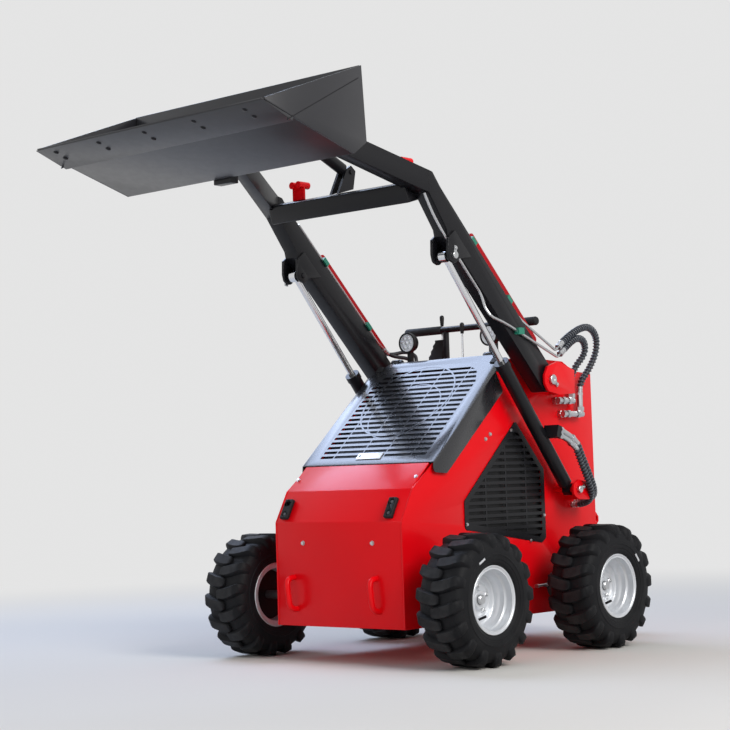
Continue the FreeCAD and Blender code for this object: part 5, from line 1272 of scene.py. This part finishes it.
@dataclass(frozen=True)
class Studio:
    """The pale floor, the sky dome, the soft lamps and the photograph's camera."""

    floor_radius: float = 60.0
    floor_colour: Colour = (0.74, 0.715, 0.67)
    floor_fade: tuple[float, float] = (1.8, 6.0)
    sky_top: Colour = (0.92, 0.98, 1.10)
    sky_side: Colour = (0.72, 0.72, 0.73)
    sky_strength: float = 0.45
    backdrop: Colour = (0.78, 0.78, 0.78)
    camera_place: Point = (4.376, -5.030, 0.657)
    camera_turn: float = 41.56
    camera_lift: float = 3.62
    camera_roll: float = -1.77
    focal_pixels: float = 1797.07
    photo_pixels: float = 730.0
    sensor_width: float = 0.036

    def build(self) -> None:
        """Set up the whole studio."""
        self._floor()
        self._world()
        self._lamp("KeySoftbox", (6.0, -1.0, 4.2), 3.2, 290.0, (1.0, 0.98, 0.95))
        self._lamp("FillSoftbox", (-1.0, -6.5, 3.0), 3.0, 45.0, (0.95, 0.97, 1.0))
        self._lamp("SkySoftbox", (-3.6, 0.75, 4.95), 3.2, 190.0, (0.57, 0.70, 1.0))
        self._camera()
        bpy.context.scene.view_settings.view_transform = "Standard"

    def _floor(self) -> None:
        """Lay a wide round floor."""
        mesh = bpy.data.meshes.new("Floor")
        work = bmesh.new()
        bmesh.ops.create_circle(work, cap_ends=True, radius=self.floor_radius, segments=96)
        work.to_mesh(mesh)
        work.free()
        floor = bpy.data.objects.new("Floor", mesh)
        bpy.context.scene.collection.objects.link(floor)
        mesh.materials.append(self._floor_material())

    def _floor_material(self) -> bpy.types.Material:
        """Make the floor's paint, which fades to the backdrop's own level away from the machine."""
        finish = Finish("StudioFloor", self.floor_colour, tuple(c * 0.97 for c in self.floor_colour), 0.9, specular=0.0,
                        grain=Grain.MOULDED, grain_scale=60.0, grain_depth=0.0003, patch_scale=0.8)
        material = finish.build()
        tree = material.node_tree
        output = next(node for node in tree.nodes if node.type == "OUTPUT_MATERIAL")
        paint = output.inputs["Surface"].links[0].from_socket
        far = tree.nodes.new("ShaderNodeEmission")
        far.inputs["Color"].default_value = (*self.backdrop, 1)
        length = tree.nodes.new("ShaderNodeVectorMath")
        length.operation = "LENGTH"
        tree.links.new(tree.nodes.new("ShaderNodeTexCoord").outputs["Object"], length.inputs[0])
        fade = tree.nodes.new("ShaderNodeMapRange")
        fade.interpolation_type = "SMOOTHSTEP"
        fade.inputs["From Min"].default_value = self.floor_fade[0]
        fade.inputs["From Max"].default_value = self.floor_fade[1]
        tree.links.new(length.outputs["Value"], fade.inputs["Value"])
        mix = tree.nodes.new("ShaderNodeMixShader")
        tree.links.new(fade.outputs["Result"], mix.inputs["Fac"])
        tree.links.new(paint, mix.inputs[1])
        tree.links.new(far.outputs["Emission"], mix.inputs[2])
        tree.links.new(mix.outputs["Shader"], output.inputs["Surface"])
        return material

    def _world(self) -> None:
        """Light the set with an overcast dome, and show a plain pale backdrop to the camera."""
        world = bpy.data.worlds.new("Overcast")
        bpy.context.scene.world = world
        world.use_nodes = True
        tree = world.node_tree
        tree.nodes.clear()
        output = tree.nodes.new("ShaderNodeOutputWorld")
        sky = tree.nodes.new("ShaderNodeBackground")
        plain = tree.nodes.new("ShaderNodeBackground")
        plain.inputs["Color"].default_value = (*self.backdrop, 1)
        mix = tree.nodes.new("ShaderNodeMixShader")
        rays = tree.nodes.new("ShaderNodeLightPath")
        seen = rays.outputs["Is Camera Ray"]
        for kind in ("Is Glossy Ray", "Is Transmission Ray"):
            either = tree.nodes.new("ShaderNodeMath")
            either.operation = "MAXIMUM"
            tree.links.new(seen, either.inputs[0])
            tree.links.new(rays.outputs[kind], either.inputs[1])
            seen = either.outputs["Value"]
        tree.links.new(seen, mix.inputs["Fac"])
        tree.links.new(sky.outputs["Background"], mix.inputs[1])
        tree.links.new(plain.outputs["Background"], mix.inputs[2])
        tree.links.new(mix.outputs["Shader"], output.inputs["Surface"])
        parts = tree.nodes.new("ShaderNodeSeparateXYZ")
        tree.links.new(tree.nodes.new("ShaderNodeTexCoord").outputs["Generated"], parts.inputs["Vector"])
        height = tree.nodes.new("ShaderNodeMapRange")
        height.inputs["From Min"].default_value = 0.05
        height.inputs["From Max"].default_value = 0.75
        tree.links.new(parts.outputs["Z"], height.inputs["Value"])
        dome = tree.nodes.new("ShaderNodeMix")
        dome.data_type = "RGBA"
        tree.links.new(height.outputs["Result"], dome.inputs["Factor"])
        dome.inputs["A"].default_value = (*self.sky_side, 1)
        dome.inputs["B"].default_value = (*self.sky_top, 1)
        tree.links.new(dome.outputs["Result"], sky.inputs["Color"])
        sky.inputs["Strength"].default_value = self.sky_strength

    def _lamp(self, name: str, place: Point, size: float, power: float, colour: Colour) -> None:
        """Aim a square softbox at the middle of the machine."""
        data = bpy.data.lights.new(name, "AREA")
        data.size = size
        data.energy = power
        data.color = colour
        lamp = bpy.data.objects.new(name, data)
        bpy.context.scene.collection.objects.link(lamp)
        lamp.visible_camera = False
        aim = Vector((0.0, 0.0, 0.8)) - Vector(place)
        lamp.matrix_world = Matrix.Translation(place) @ aim.to_track_quat("-Z", "Y").to_matrix().to_4x4()

    def _camera(self) -> None:
        """Stand the camera where the photograph was taken from."""
        data = bpy.data.cameras.new("PhotoCamera")
        data.sensor_width = self.sensor_width * 1000
        data.lens = self.focal_pixels / self.photo_pixels * data.sensor_width
        data.clip_end = 200
        camera = bpy.data.objects.new("PhotoCamera", data)
        bpy.context.scene.collection.objects.link(camera)
        turn = math.radians(self.camera_turn)
        lift = math.radians(self.camera_lift)
        roll = math.radians(self.camera_roll)
        ahead = Vector((-math.sin(turn) * math.cos(lift), math.cos(turn) * math.cos(lift), math.sin(lift)))
        right = Vector((math.cos(turn), math.sin(turn), 0))
        up = right.cross(ahead)
        level_right = right * math.cos(roll) + up * math.sin(roll)
        level_up = up * math.cos(roll) - right * math.sin(roll)
        basis = Matrix((level_right, level_up, -ahead)).transposed().to_4x4()
        camera.matrix_world = Matrix.Translation(self.camera_place) @ basis
        bpy.context.scene.camera = camera


def main() -> None:
    """Build the machine's sub-assemblies and the studio, in order."""
    shop = Paintshop()
    shop.coat_nodes()
    SoftenedPanels(shop).build()
    Wheels(shop).build()
    Hoses(shop).build()
    Fasteners(shop).build()
    PinHeads(shop).build()
    NoseParts(shop).build()
    Console(shop).build()
    SmallParts(shop).build()
    Studio().build()


if __name__ == "__main__":
    main()
